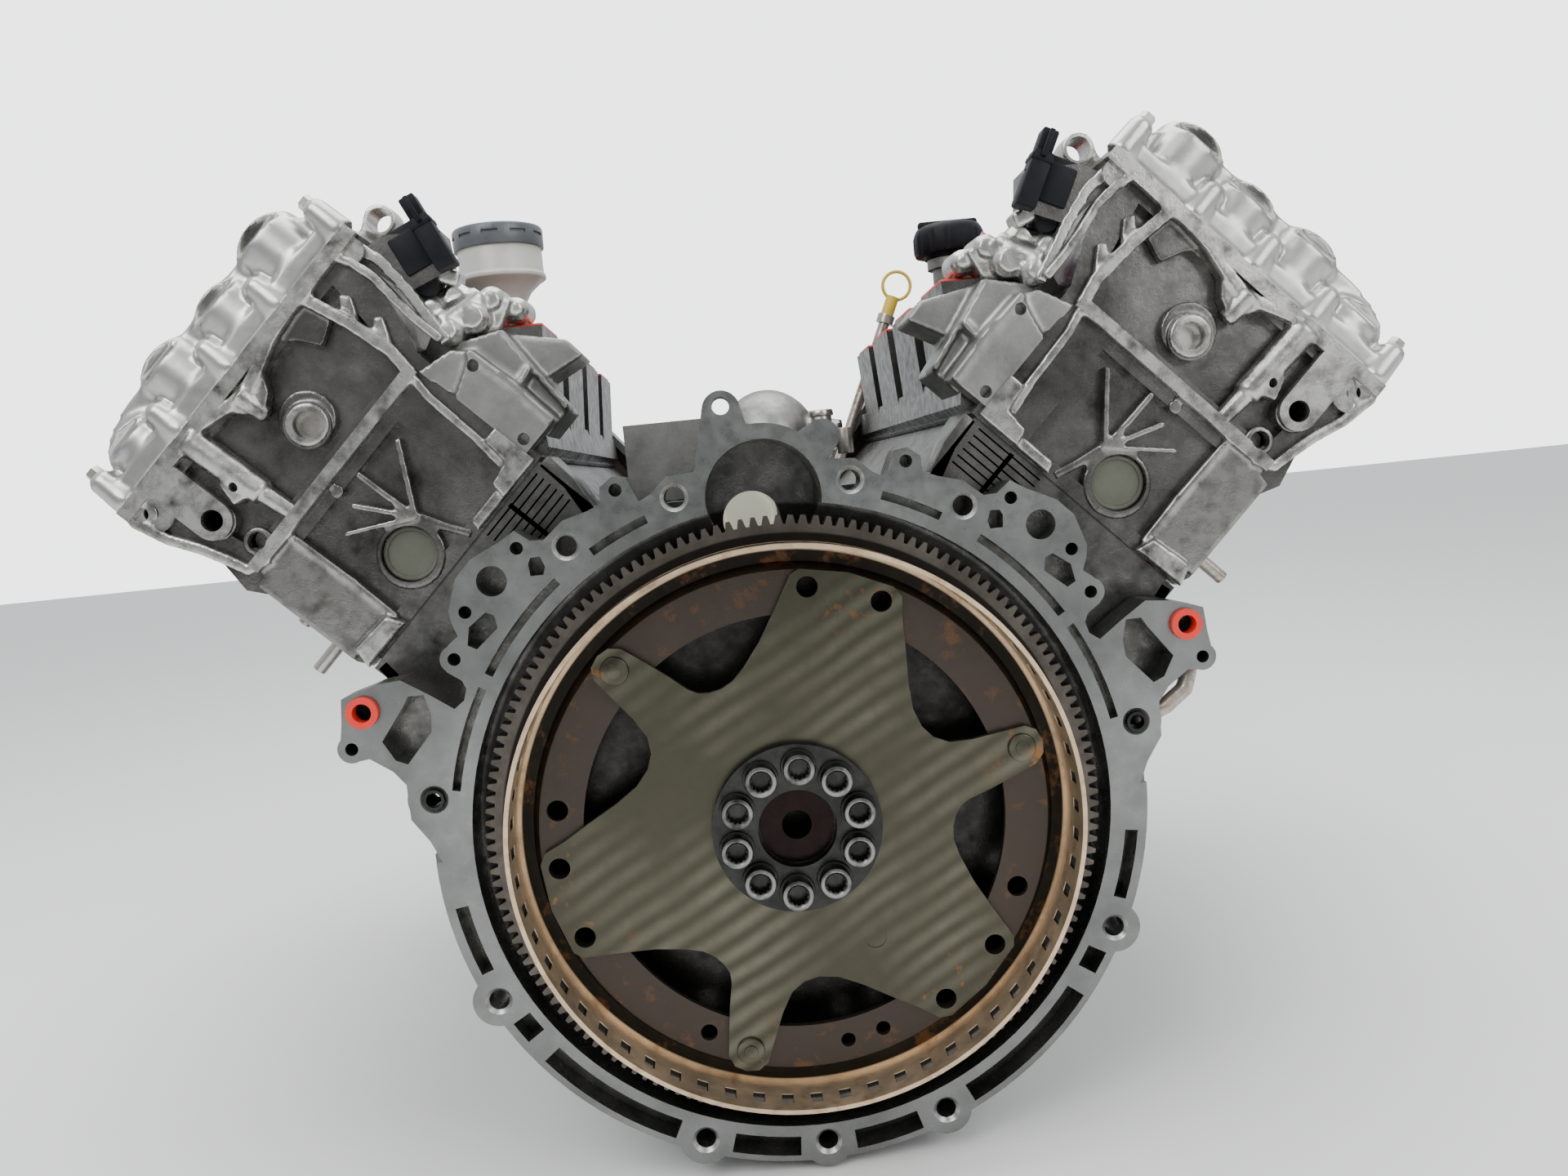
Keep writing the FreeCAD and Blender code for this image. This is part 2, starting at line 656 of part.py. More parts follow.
HEAD_SECTION = [(-87.0, HEAD_U), (-91.0, 242.0), (-91.0, 302.0), (-97.0, 313.0), (-93.0, 331.0),
                (-99.0, 357.0), (-103.0, 378.0), (-105.0, 383.0), (-105.0, HEAD_TOP), (96.0, HEAD_TOP),
                (96.0, 383.0), (86.0, 377.0), (77.0, 345.0), (66.0, 320.0), (64.0, HEAD_U)]
CAM_ROOM = [(-82.0, HEAD_FLOOR), (-90.0, 380.0), (-91.0, HEAD_TOP + 1), (75.0, HEAD_TOP + 1), (73.0, 380.0),
            (69.0, HEAD_FLOOR)]
PORT_SECTION = [(58.0, HEAD_U + 2), (66.0, HEAD_U + 2), (121.5, 283.0), (77.0, 327.5), (58.0, 322.0)]


def valve_line(kind):
    sign = 1.0 if kind == "intake" else -1.0
    tilt = math.radians(VALVE_TILT)
    return sign, V(-sign * math.sin(tilt), 0, -math.cos(tilt))


def valve_point(kind, y, distance):
    sign, run = valve_line(kind)
    return V(sign * CAM_V, y, CAM_U) + run * distance


def along_valve(kind, y, start, end, radius):
    sign, run = valve_line(kind)
    return Part.makeCylinder(radius, end - start, valve_point(kind, y, start), run)


def valve_spots(side):
    spots = []
    for index in range(4):
        middle = cylinder_y(index, side)
        for kind in ("intake", "exhaust"):
            for step in (-1, 1):
                spots.append((index, kind, middle + step * VALVE_PITCH))
    return spots


CYCLE = {"left": (315.0, 225.0, 405.0, 495.0), "right": (45.0, 675.0, 135.0, 585.0)}


def lobe_angle(index, kind, side):
    peak = 470.0 if kind == "intake" else 250.0
    return (CYCLE[side][index] - peak) / 2


def lift_at(index, kind, side):
    reach = CAM_THROW * math.cos(math.radians(lobe_angle(index, kind, side))) + CAM_NOSE
    return max(CAM_BASE, reach) - CAM_BASE


def valve_cuts(side):
    tools = []
    for index, kind, y in valve_spots(side):
        head_r = 17.6 if kind == "intake" else 15.6
        tools.append(along_valve(kind, y, 5.0, 66.0, TAPPET_R + 0.05))
        tools.append(along_valve(kind, y, 60.0, 130.0, 3.03))
        tools.append(along_valve(kind, y, 118.0, SEAT_T + 1, head_r - 3.0))
        tools.append(along_valve(kind, y, SEAT_T, SEAT_T + 16, head_r))
    for index in range(4):
        y = cylinder_y(index, side)
        for step in (-1, 1):
            lane = y + step * VALVE_PITCH
            tools.append(rod_between((104.0, y + step * 8, 309.5), (22.0, lane, 262.0), 13.0))
            tools.append(rod_between((-96.0, y + step * 7, 278.0), (-22.0, lane, 259.0), 11.5))
        tools.append(Part.makeCylinder(46.0, 7.0, V(0, y, HEAD_U - 1), V(0, 0, 1)))
        tools.append(Part.makeCylinder(13.0, 160.0, V(0, y, 266.0), V(0, 0, 1)))
        tools.append(Part.makeCylinder(6.05, 60.0, V(0, y, 230.0), V(0, 0, 1)))
    for v, y in head_bolt_spots(side):
        tools.append(Part.makeCylinder(5.8, 130.0, V(v, y, HEAD_U - 5), V(0, 0, 1)))
        tools.append(Part.makeCylinder(8.3, 60.0, V(v, y, HEAD_FLOOR), V(0, 0, 1)))
    for index in range(3):
        tools.append(Part.makeCylinder(3.0, 20.0, V(0, cylinder_y(index, side) + 54, HEAD_U - 2), V(0, 0, 1)))
    return tools


def head_extras(side):
    y0 = HEAD_REAR + shift_of(side)
    shapes = []
    for index in range(4):
        y = cylinder_y(index, side)
        shapes.append(prism(PORT_SECTION, y - 40, y + 40))
        shapes.append(Part.makeCylinder(17.0, 66.0, V(0, y, HEAD_FLOOR - 1), V(0, 0, 1)))
        for v in (-CAM_V, CAM_V):
            shapes.append(box(v - 17, v + 17, y - 8, y + 8, HEAD_FLOOR - 1, CAM_U))
        shapes.append(box(-97.0, -88.0, y - 32, y + 32, 252.0, 304.0))
    for index, kind, y in valve_spots(side):
        sleeve = along_valve(kind, y, 24.0, 60.0, 20.0)
        shapes.append(sleeve.common(box(-86, 74, y - 20, y + 20, HEAD_FLOOR - 1, 362.0)))
    skirt = [(60.0, HEAD_U + 2), (70.0, HEAD_U + 2), (82.0, 250.0), (60.0, 262.0)]
    shapes.append(prism(skirt, y0 + 14, FRONT_Y - 8))
    return shapes


def head_rear_detail(side):
    y0 = HEAD_REAR + shift_of(side)
    raised = [cyl(13.0, y0 - 2, y0 + 8, -3.0, 342.0)]
    raised.append(hull([(-76.0, 349.0, 11.0), (-76.0, 380.0, 11.0)], y0 - 6, y0 + 6))
    raised.append(cyl(12.0, y0 - 4, y0 + 8, -93.0, 377.0))
    raised.append(cyl(8.0, y0 - 4, y0 + 8, 86.0, 381.0))
    raised.append(box(-84.0, 58.0, y0 - 5, y0 + 4, 313.0, 320.0))
    bracket = [(88.0, 345.0), (112.0, 335.0), (126.0, 352.0), (104.0, 374.0), (84.0, 380.0)]
    raised.append(prism(bracket, y0 + 2, y0 + 26))
    raised.append(box(-105.0, 96.0, y0 - 6, y0 + 4, 383.0, HEAD_TOP))
    recess = [(-76.0, 324.0), (-78.0, 340.0), (-70.0, 378.0), (66.0, 378.0), (56.0, 324.0)]
    pockets = [prism(recess, y0 - 1, y0 + 6)]
    pockets.append(prism([(-60.0, 242.0), (-60.0, 306.0), (30.0, 306.0), (30.0, 242.0)], y0 - 1, y0 + 5))
    holes = [cyl(9.0, y0 - 8, y0 + 6.5, -3.0, 342.0)]
    holes.append(cyl(6.0, y0 - 10, y0 + 14, -76.0, 349.0))
    holes.append(cyl(5.0, y0 - 10, y0 + 10, -70.0, 324.0))
    holes.append(cyl(15.7, y0 - 2, y0 + 9, -24.5, 256.0))
    holes.append(cyl(4.0, y0 - 8, y0 + 10, -94.0, 377.0))
    return raised, pockets, holes


def head(side):
    y0 = HEAD_REAR + shift_of(side)
    raised, pockets, holes = head_rear_detail(side)
    body = prism(HEAD_SECTION, y0, FRONT_Y)
    room = prism(CAM_ROOM, y0 + 12, FRONT_Y + 1)
    body = body.cut([room] + pockets)
    boss = cyl(16.0, y0, y0 + 9, -24.5, 256.0).cut(box(-60, 20, y0 - 1, y0 + 10, 200.0, HEAD_U))
    shape = joined([body, boss] + head_extras(side) + raised)
    tools = valve_cuts(side) + holes
    for index in range(4):
        y = cylinder_y(index, side)
        for v in (-CAM_V, CAM_V):
            tools.append(cyl(JOURNAL_R + 0.03, y - 9, y + 9, v, CAM_U))
    for v, y in cover_bolt_spots(side):
        tools.append(Part.makeCylinder(2.6, 20.0, V(v, y, HEAD_TOP - 15), V(0, 0, 1)))
    sensor_y = y0 + 14
    tools.append(rod_between((98.0, sensor_y, 340.0), (114.0, sensor_y, 364.0), 6.5))
    tools.append(rod_between((113.0, sensor_y, 362.5), (116.0, sensor_y, 367.0), 6.5))
    return place(shape.cut(tools), side).cut(port_grooves(side))


def head_gasket(side):
    y0 = HEAD_REAR + shift_of(side)
    sheet = box(-82.0, 60.0, y0 + 2, FRONT_Y - 2, DECK_U, HEAD_U)
    tools = []
    for index in range(4):
        y = cylinder_y(index, side)
        tools.append(Part.makeCylinder(49.0, 5.0, V(0, y, DECK_U - 2), V(0, 0, 1)))
    for v, y in head_bolt_spots(side):
        tools.append(Part.makeCylinder(6.5, 5.0, V(v, y, DECK_U - 2), V(0, 0, 1)))
    return place(sheet.cut(tools), side)


def head_bolts(side):
    shapes = []
    up = V(0, 0, 1)
    for v, y in head_bolt_spots(side):
        shank = Part.makeCylinder(5.5, HEAD_FLOOR - DECK_U + 78.0, V(v, y, DECK_U - 78.0), up)
        cap = Part.makeCylinder(8.0, 10.0, V(v, y, HEAD_FLOOR), up)
        socket = Part.makeCylinder(4.5, 6.0, V(v, y, HEAD_FLOOR + 5), up)
        shapes.append(place(shank.fuse(cap).cut(socket), side))
    return shapes


def valve(index, kind, y, side):
    lift = lift_at(index, kind, side)
    head_r = 17.4 if kind == "intake" else 15.4
    stem = along_valve(kind, y, 19.2 + lift, SEAT_T + lift, 3.0)
    disc = along_valve(kind, y, SEAT_T + 0.05 + lift, SEAT_T + 2.6 + lift, head_r)
    sign, run = valve_line(kind)
    tulip = Part.makeCone(3.0, head_r - 3.4, 9.0, valve_point(kind, y, SEAT_T - 8.9 + lift), run)
    collar = along_valve(kind, y, 31.0 + lift, 34.0 + lift, 12.5)
    return place(joined([stem, tulip, disc, collar]), side)


def tappet(index, kind, y, side):
    lift = lift_at(index, kind, side)
    top = CAM_BASE + LASH + lift
    outer = along_valve(kind, y, top, top + 20.0, TAPPET_R)
    inner = along_valve(kind, y, top + 3.0, top + 21.0, TAPPET_R - 1.8)
    return place(outer.cut(inner), side)


def valve_spring(index, kind, y, side):
    lift = lift_at(index, kind, side)
    start = 34.0 + lift + 1.9
    end = 66.0 - 1.9
    helix = Part.makeHelix((end - start) / 4.0, end - start, 9.2)
    wire = [V(7.8, 0, -1.2), V(10.6, 0, -1.2), V(10.6, 0, 1.2), V(7.8, 0, 1.2)]
    section = Part.makePolygon(wire + [wire[0]])
    coil = Part.Wire(helix.Edges).makePipeShell([section], True, True)
    sign, run = valve_line(kind)
    coil.Placement = FreeCAD.Placement(valve_point(kind, y, start), FreeCAD.Rotation(V(0, 0, 1), run))
    return place(coil, side)


def camshaft(kind, side):
    sign, run = valve_line(kind)
    y0 = HEAD_REAR + shift_of(side) + 20
    chain_y = CHAIN_Y[side]
    x = sign * CAM_V
    shapes = [cyl(10.5, y0, chain_y + CHAIN_WIDTH + 6, x, CAM_U)]
    for index in range(4):
        y = cylinder_y(index, side)
        shapes.append(cyl(JOURNAL_R, y - 9, y + 9, x, CAM_U))
        for step in (-1, 1):
            lane = y + step * VALVE_PITCH
            turn = math.radians(lobe_angle(index, kind, side))
            base = math.atan2(run.x, run.z)
            nose_x = x + CAM_THROW * math.sin(base + sign * turn)
            nose_z = CAM_U + CAM_THROW * math.cos(base + sign * turn)
            lobe = hull([(x, CAM_U, CAM_BASE), (nose_x, nose_z, CAM_NOSE)], lane - 7, lane + 7)
            shapes.append(lobe)
    shaft = joined(shapes)
    bore = cyl(6.0, y0 - 1, chain_y - 4, x, CAM_U)
    wheel_r = CHAIN_CAM_R - CHAIN_HALF - 0.2
    hub = cyl(16.0, chain_y - 4, chain_y + CHAIN_WIDTH + 4, x, CAM_U)
    wheel = cyl(wheel_r, chain_y, chain_y + CHAIN_WIDTH, x, CAM_U)
    sprocket = hub.fuse(wheel)
    tools = [cyl(10.5, chain_y - 6, chain_y + CHAIN_WIDTH + 6, x, CAM_U)]
    for index in range(6):
        angle = math.radians(60 * index)
        hole_x, hole_u = x + 25 * math.sin(angle), CAM_U + 25 * math.cos(angle)
        tools.append(cyl(4.5, chain_y - 1, chain_y + 20, hole_x, hole_u))
    return [place(shaft.cut(bore), side), place(sprocket.cut(tools), side)]


def cam_caps(side):
    shapes = []
    for index in range(4):
        y = cylinder_y(index, side)
        for v in (-CAM_V, CAM_V):
            block = box(v - 17, v + 17, y - 8, y + 8, CAM_U, CAM_U + 17)
            arch = block.cut(cyl(JOURNAL_R + 0.03, y - 9, y + 9, v, CAM_U))
            shapes.append(place(arch, side))
    return shapes


def spark_plugs(side):
    shapes = []
    up = V(0, 0, 1)
    for index in range(4):
        y = cylinder_y(index, side)
        thread = Part.makeCylinder(6.0, 26.0, V(0, y, 240.0), up)
        body = hex_prism(9.0, 14.0, V(0, y, 266.0), up)
        insulator = Part.makeCylinder(5.0, 34.0, V(0, y, 279.0), up)
        terminal = Part.makeCylinder(3.0, 8.0, V(0, y, 312.0), up)
        shapes.append(place(joined([thread, body, insulator, terminal]), side))
    return shapes


# ---------------------------------------------------------------- covers

COVER_OUTER = [(-105.0, HEAD_TOP), (-105.0, 402.0), (-93.0, 402.0), (-92.5, 415.0), (-80.0, 427.0),
               (-60.0, 432.0), (64.0, 432.0), (79.0, 426.0), (86.0, 414.0), (86.0, 402.0), (96.0, 402.0),
               (96.0, HEAD_TOP)]
COVER_INNER = [(-90.0, HEAD_TOP - 1), (-89.5, 413.0), (-78.0, 423.5), (-58.0, 428.0), (62.0, 428.0),
               (76.0, 423.0), (83.0, 412.0), (83.0, HEAD_TOP - 1)]
BOLT_V = (-98.3, 91.2)
BOLT_SEAT = 413.0


def cover_bolt_spots(side):
    y0 = HEAD_REAR + shift_of(side)
    spots = []
    for index in range(6):
        y = y0 + 6 + index * (FRONT_Y - 12 - y0 - 6) / 5
        spots.append((BOLT_V[0], y))
        spots.append((BOLT_V[1], y))
    return spots


def cam_cover(side):
    y0 = HEAD_REAR + shift_of(side)
    up = V(0, 0, 1)
    shapes = [prism(COVER_OUTER, y0 + 2, COVER_Y)]
    for v in (-74.0, -34.0, 6.0, 46.0):
        lobe = Part.makeCylinder(20.0, 40.0, V(v, y0 + 14, 392.0), up)
        inside = lobe.common(prism(COVER_OUTER, y0 - 20, COVER_Y))
        shapes.append(inside.cut(box(-200, 200, -50, 700, 300, HEAD_TOP)))
    shapes.append(box(-105.0, 96.0, y0 - 6, y0 + 3, HEAD_TOP, 402.0))
    outer = joined(shapes)
    hollow = prism(COVER_INNER, y0 + 12, COVER_Y - 5)
    shape = outer.cut(hollow)
    wells = []
    tools = []
    for index in range(4):
        y = cylinder_y(index, side)
        wells.append(Part.makeCylinder(20.0, 22.0, V(0, y, 412.0), up))
        tools.append(Part.makeCylinder(17.2, 20.0, V(0, y, 392.0), up))
        tools.append(Part.makeCylinder(16.0, 60.0, V(0, y, 380.0), up))
    for v, y in cover_bolt_spots(side):
        wells.append(Part.makeCylinder(6.5, BOLT_SEAT - HEAD_TOP, V(v, y, HEAD_TOP), up))
        tools.append(Part.makeCylinder(2.7, 30.0, V(v, y, 385.0), up))
    shape = joined([shape] + wells).cut(tools)
    return place(shape, side)


def cover_bolts(side):
    shapes = []
    up = V(0, 0, 1)
    for v, y in cover_bolt_spots(side):
        shank = Part.makeCylinder(2.5, BOLT_SEAT - HEAD_TOP + 14.0, V(v, y, HEAD_TOP - 14), up)
        cap = hex_prism(4.6, 6.0, V(v, y, BOLT_SEAT), up)
        shapes.append(place(shank.fuse(cap), side))
    return shapes


FRONT_ARM = [(-98.0, HEAD_TOP), (-98.0, 330.0), (-66.0, 60.0), (-60.0, 0.0), (60.0, 0.0), (66.0, 60.0),
             (92.0, 330.0), (92.0, HEAD_TOP)]


def inset(points, amount):
    result = []
    for x, z in points:
        result.append((x + amount if x < 0 else x - amount, z))
    return result


def front_cover():
    shapes = [cyl(66.0, FRONT_Y, COVER_Y), cyl(46.0, COVER_Y - 20, COVER_Y + 16, 0, 142)]
    rooms = [cyl(60.0, FRONT_Y - 1, COVER_Y - 6)]
    web = prism([(-92, 92), (92, 92), (60, 190), (-60, 190)], COVER_Y - 20, COVER_Y)
    shapes.append(web)
    for side in ("left", "right"):
        shapes.append(place(prism(FRONT_ARM, FRONT_Y, COVER_Y), side))
        arm = prism(inset(FRONT_ARM, 6.0), FRONT_Y - 1, COVER_Y - 6)
        arm = arm.fuse(box(-92.0, 84.0, FRONT_Y - 1, COVER_Y - 6, 380.0, HEAD_TOP + 2))
        rooms.append(place(arm, side))
    shapes.append(prism([(-130, 0), (130, 0), (120, RAIL_Z + 1), (-120, RAIL_Z + 1)], FRONT_Y, FRONT_Y + 14))
    shapes.append(cyl(30.0, COVER_Y, COVER_Y + 4))
    shape = joined(shapes)
    rooms += [cyl(22.1, COVER_Y - 20, COVER_Y + 10), cyl(8.05, COVER_Y - 12, COVER_Y + 30, 0, 142)]
    shape = shape.cut(rooms)
    return shape


def pump_pulley():
    shaft = cyl(8.0, COVER_Y - 11, COVER_Y + 40, 0, 142)
    rim = tube(50.0, 44.0, COVER_Y + 18, COVER_Y + 42, 0, 142)
    disc = cyl(46.0, COVER_Y + 26, COVER_Y + 30, 0, 142)
    shape = joined([shaft, rim, disc])
    for index in range(4):
        angle = math.radians(45 + 90 * index)
        shape = shape.cut(cyl(6.0, COVER_Y, COVER_Y + 50, 28 * math.sin(angle), 142 + 28 * math.cos(angle)))
    for index in range(4):
        y = COVER_Y + 22 + index * 4.5
        shape = shape.cut(tube(52.0, 48.0, y, y + 2.4, 0, 142))
    return shape


def chain_discs(extra):
    far = CHAIN_CAM_R + extra
    return [(0.0, 0.0, CHAIN_CRANK_R + extra), (CAM_V, CAM_U, far), (-CAM_V, CAM_U, far)]


def timing_chain(side):
    y = CHAIN_Y[side]
    outer = hull(chain_discs(CHAIN_HALF), y, y + CHAIN_WIDTH)
    inner = hull(chain_discs(-CHAIN_HALF), y - 1, y + CHAIN_WIDTH + 1)
    return place(outer.cut(inner), side)


def chain_guides(side):
    y = CHAIN_Y[side]
    shapes = []
    for sign in (-1.0, 1.0):
        lean = math.atan2(CAM_V, CAM_U)
        slope = math.acos((CHAIN_CRANK_R - CHAIN_CAM_R) / math.hypot(CAM_V, CAM_U)) - math.pi / 2
        tilt = lean + slope
        strip = box(CHAIN_CRANK_R + 3.4, CHAIN_CRANK_R + 12.0, y - 1, y + CHAIN_WIDTH + 1, 70.0, 320.0)
        strip.rotate(ORIGIN, Y_AXIS, math.degrees(tilt))
        if sign < 0:
            strip = strip.mirror(ORIGIN, V(1, 0, 0))
        shapes.append(place(strip, side))
    return shapes


# ---------------------------------------------------------------- trim on the outside

def dowel_sleeves():
    x, z = DOWELS
    return [tube(5.5, 4.0, -1.5, 14.0, -x, z), tube(5.5, 4.0, -1.5, 14.0, x, z)]


def core_plugs(side):
    y0 = HEAD_REAR + shift_of(side)
    cup = cyl(15.6, y0 + 5.0, y0 + 9.0, -24.5, 256.0).cut(cyl(13.0, y0 + 4.0, y0 + 7.5, -24.5, 256.0))
    plug = cyl(8.9, y0 + 1.5, y0 + 6.5, -3.0, 342.0).cut(cyl(6.8, y0 + 1, y0 + 4.5, -3.0, 342.0))
    return [place(cup, side), place(plug, side)]


def cam_sensor(side):
    y = HEAD_REAR + shift_of(side) + 14
    nose = rod_between((101.0, y, 344.5), (108.0, y, 355.0), 6.2)
    body = rod_between((116.4, y, 367.6), (125.0, y, 380.5), 10.0)
    neck = rod_between((107.0, y, 353.5), (116.0, y, 367.0), 6.2)
    plug = rod_between((120.0, y, 373.0), (132.0, y, 398.0), 6.5)
    return place(joined([nose, neck, body, plug]), side)


def port_ring(side, half_x, half_y, wall, depth):
    shapes = []
    x = -142.0 if side == "left" else 142.0
    for index in range(4):
        y = cylinder_y(index, side)
        top = port_top(side)
        outer = box(x - half_x, x + half_x, y - half_y, y + half_y, top - depth, top - 0.1)
        inner_x, inner_y = half_x - wall, half_y - wall
        inner = box(x - inner_x, x + inner_x, y - inner_y, y + inner_y, top - 9, top + 5)
        shapes.append(outer.cut(inner))
    return shapes


def port_grooves(side):
    rings = port_ring(side, 26.1, 30.1, 5.2, 2.6)
    for ring in rings:
        ring.translate(V(0, 0, 0.2))
    return rings


def port_seals(side):
    return port_ring(side, 26.0, 30.0, 5.0, 2.4)


def port_top(side):
    return (121.5 + 283.0) * math.sqrt(0.5)


def flange_seals():
    return [tube(8.4, 5.0, -3.0, 4.0, x, z) for x, z in both_sides([OIL_PORT])]


def exhaust_studs(side):
    shapes = []
    for index in range(4):
        y = cylinder_y(index, side)
        for dy, u in ((-26.0, 262.0), (26.0, 296.0)):
            shapes.append(place(rod_between((-122.0, y + dy, u), (-97.0, y + dy, u), 4.0), side))
    return shapes


def coolant_manifold():
    up = V(0, 0, 1)
    base = box(-29.0, 29.0, 92.0, 470.0, 116.0, 150.0)
    stem = box(-50.0, 14.0, 120.0, 320.0, 145.0, 180.0)
    tank = box(-78.0, -6.0, 110.0, 330.0, 178.0, 226.0)
    tank = tank.fuse(box(-60.0, 4.0, 112.0, 328.0, 178.0, 220.0))
    dome = Part.makeCylinder(22.5, 74.5, V(14.5, 150.0, 145.0), up)
    crown = Part.makeSphere(22.5, V(14.5, 150.0, 219.5))
    shape = joined([base, stem, tank, dome, crown])
    return shape.cut(box(-72.0, -14.0, 118.0, 322.0, 184.0, 218.0))


def breather_neck(head_solid):
    up = V(0, 0, 1)
    x, y = BREATHER_XY
    pipe = Part.makeCylinder(12.5, 92.0, V(x, y, 262.0), up)
    flare = Part.makeCone(14.0, 30.0, 13.0, V(x, y, 349.0), up)
    cup = Part.makeCylinder(30.5, 18.0, V(x, y, 362.0), up)
    rim = Part.makeCylinder(32.5, 11.0, V(x, y, 376.0), up)
    bore = Part.makeCylinder(9.0, 100.0, V(x, y, 280.0), up)
    well = Part.makeCylinder(27.5, 40.0, V(x, y, 365.0), up)
    return joined([pipe, flare, cup, rim]).cut([bore, well, head_solid])


def oil_filler_neck(head_solid):
    up = V(0, 0, 1)
    x, y = FILLER_XY
    pipe = Part.makeCylinder(13.5, 66.0, V(x, y, 262.0), up)
    collar = Part.makeCylinder(17.0, 7.0, V(x, y, 325.0), up)
    bore = Part.makeCylinder(11.0, 70.0, V(x, y, 280.0), up)
    return joined([pipe, collar]).cut([bore, head_solid])


def oil_filler_cap():
    up = V(0, 0, 1)
    x, y = FILLER_XY
    lid = Part.makeCylinder(26.0, 20.0, V(x, y, 335.0), up)
    skirt = Part.makeCylinder(19.0, 3.0, V(x, y, 332.2), up)
    grip = box(x - 24, x + 24, y - 4, y + 4, 354.0, 360.0)
    stub = Part.makeCylinder(10.95, 14.0, V(x, y, 322.0), up)
    return joined([lid, skirt, grip, stub])


def dipstick_line(distance):
    run = V(DIP_LOW[0], DIP_LOW[1], DIP_LOW[2]) - V(DIP_TOP[0], DIP_TOP[1], DIP_TOP[2])
    run.normalize()
    return V(DIP_TOP[0], DIP_TOP[1], DIP_TOP[2]) + run * distance


def dipstick_piece(start, end, radius):
    a = dipstick_line(start)
    b = dipstick_line(end)
    return rod_between((a.x, a.y, a.z), (b.x, b.y, b.z), radius)


def dipstick_tube(block_solid):
    body = dipstick_piece(0, 176.0, 5.0).fuse(dipstick_piece(0, 8.0, 8.0))
    return body.cut([dipstick_piece(-1, 168.0, 2.5), block_solid])


def dipstick():
    blade = dipstick_piece(-10.0, 160.0, 2.45)
    grip = dipstick_piece(-18.0, -0.2, 6.0)
    middle = dipstick_line(-29.0)
    loop = Part.makeTorus(13.0, 1.6, middle, Y_AXIS)
    return joined([blade, grip, loop])


def both(make):
    shapes = []
    for side in SIDES:
        made = make(side)
        shapes.extend(made if isinstance(made, list) else [made])
    return shapes


def for_valves(make):
    shapes = []
    for side in SIDES:
        for index, kind, y in valve_spots(side):
            shapes.append(make(index, kind, y, side))
    return shapes


def save_block_end():
    block = engine_block()
    save("engine_block", [block])
    save("bedplate", [bedplate()])
    save("main_bearing_shells", main_bearing_shells())
    save("bedplate_bolts", bedplate_bolts())
    save("oil_pan", [oil_pan()])
    save("rear_main_seal", [rear_main_seal()])
    save("dowel_sleeves", dowel_sleeves())
    save("flange_seals", flange_seals())
    save("coolant_manifold", [coolant_manifold()])
    save("dipstick_tube", [dipstick_tube(block)])
    save("dipstick", [dipstick()])


def save_crank_end():
    save("crankshaft", [crankshaft()])
    save("flexplate_star", [flexplate_star()])
    save("flexplate_rim", [flexplate_rim()])
    save("ring_gear", [ring_gear()])
    save("flexplate_bolts", flexplate_bolts())
    save("flexplate_washer", [flexplate_washer()])
    save("flexplate_rivets", flexplate_rivets())
    save("pilot_bush", [pilot_bush()])
    save("crank_sprocket", [crank_sprocket()])
    save("crank_damper", crank_damper())
    for index in range(4):
        number = str(index + 1)
        save("conrods_pin_" + number, rod(index, "left") + rod(index, "right"))
        save("piston_left_" + number, piston(index, "left"))
        save("piston_right_" + number, piston(index, "right"))


def save_top_end():
    heads = {}
    for side in SIDES:
        heads[side] = head(side)
        save("head_" + side, [heads[side]])
        save("cam_cover_" + side, [cam_cover(side)])
        save("camshaft_intake_" + side, camshaft("intake", side))
        save("camshaft_exhaust_" + side, camshaft("exhaust", side))
    save("breather_neck", [breather_neck(heads["left"])])
    save("oil_filler_neck", [oil_filler_neck(heads["right"])])
    save("oil_filler_cap", [oil_filler_cap()])
    save("head_gaskets", both(head_gasket))
    save("head_bolts", both(head_bolts))
    save("cam_bearing_caps", both(cam_caps))
    save("cover_bolts", both(cover_bolts))
    save("spark_plugs", both(spark_plugs))
    save("core_plugs", both(core_plugs))
    save("cam_sensors", both(cam_sensor))
    save("intake_port_seals", both(port_seals))
    save("exhaust_studs", both(exhaust_studs))
    save("valves", for_valves(valve))
    save("tappets", for_valves(tappet))
    save("valve_springs", for_valves(valve_spring))


def save_front_end():
    save("front_cover", [front_cover()])
    save("water_pump_pulley", [pump_pulley()])
    save("timing_chains", both(timing_chain))
    save("chain_guides", both(chain_guides))


save_block_end()
save_crank_end()
save_top_end()
save_front_end()
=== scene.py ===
import bpy
import json
import math
from mathutils import Matrix, Vector


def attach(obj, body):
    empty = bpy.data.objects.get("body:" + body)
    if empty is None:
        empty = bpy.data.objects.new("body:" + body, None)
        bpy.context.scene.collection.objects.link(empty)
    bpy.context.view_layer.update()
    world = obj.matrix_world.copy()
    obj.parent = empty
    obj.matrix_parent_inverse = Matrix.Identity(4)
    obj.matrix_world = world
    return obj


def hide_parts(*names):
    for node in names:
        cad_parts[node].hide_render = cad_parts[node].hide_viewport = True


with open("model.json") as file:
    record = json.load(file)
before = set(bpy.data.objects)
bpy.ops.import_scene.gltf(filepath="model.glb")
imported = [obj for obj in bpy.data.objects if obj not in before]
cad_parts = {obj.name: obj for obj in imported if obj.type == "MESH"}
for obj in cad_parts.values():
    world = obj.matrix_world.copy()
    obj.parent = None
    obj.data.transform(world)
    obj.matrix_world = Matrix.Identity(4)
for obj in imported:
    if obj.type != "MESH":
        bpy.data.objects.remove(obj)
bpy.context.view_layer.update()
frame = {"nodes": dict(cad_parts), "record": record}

MM = 0.001
BANK_TURN = math.radians(45.0)
SOFT_EDGE = math.radians(35.0)
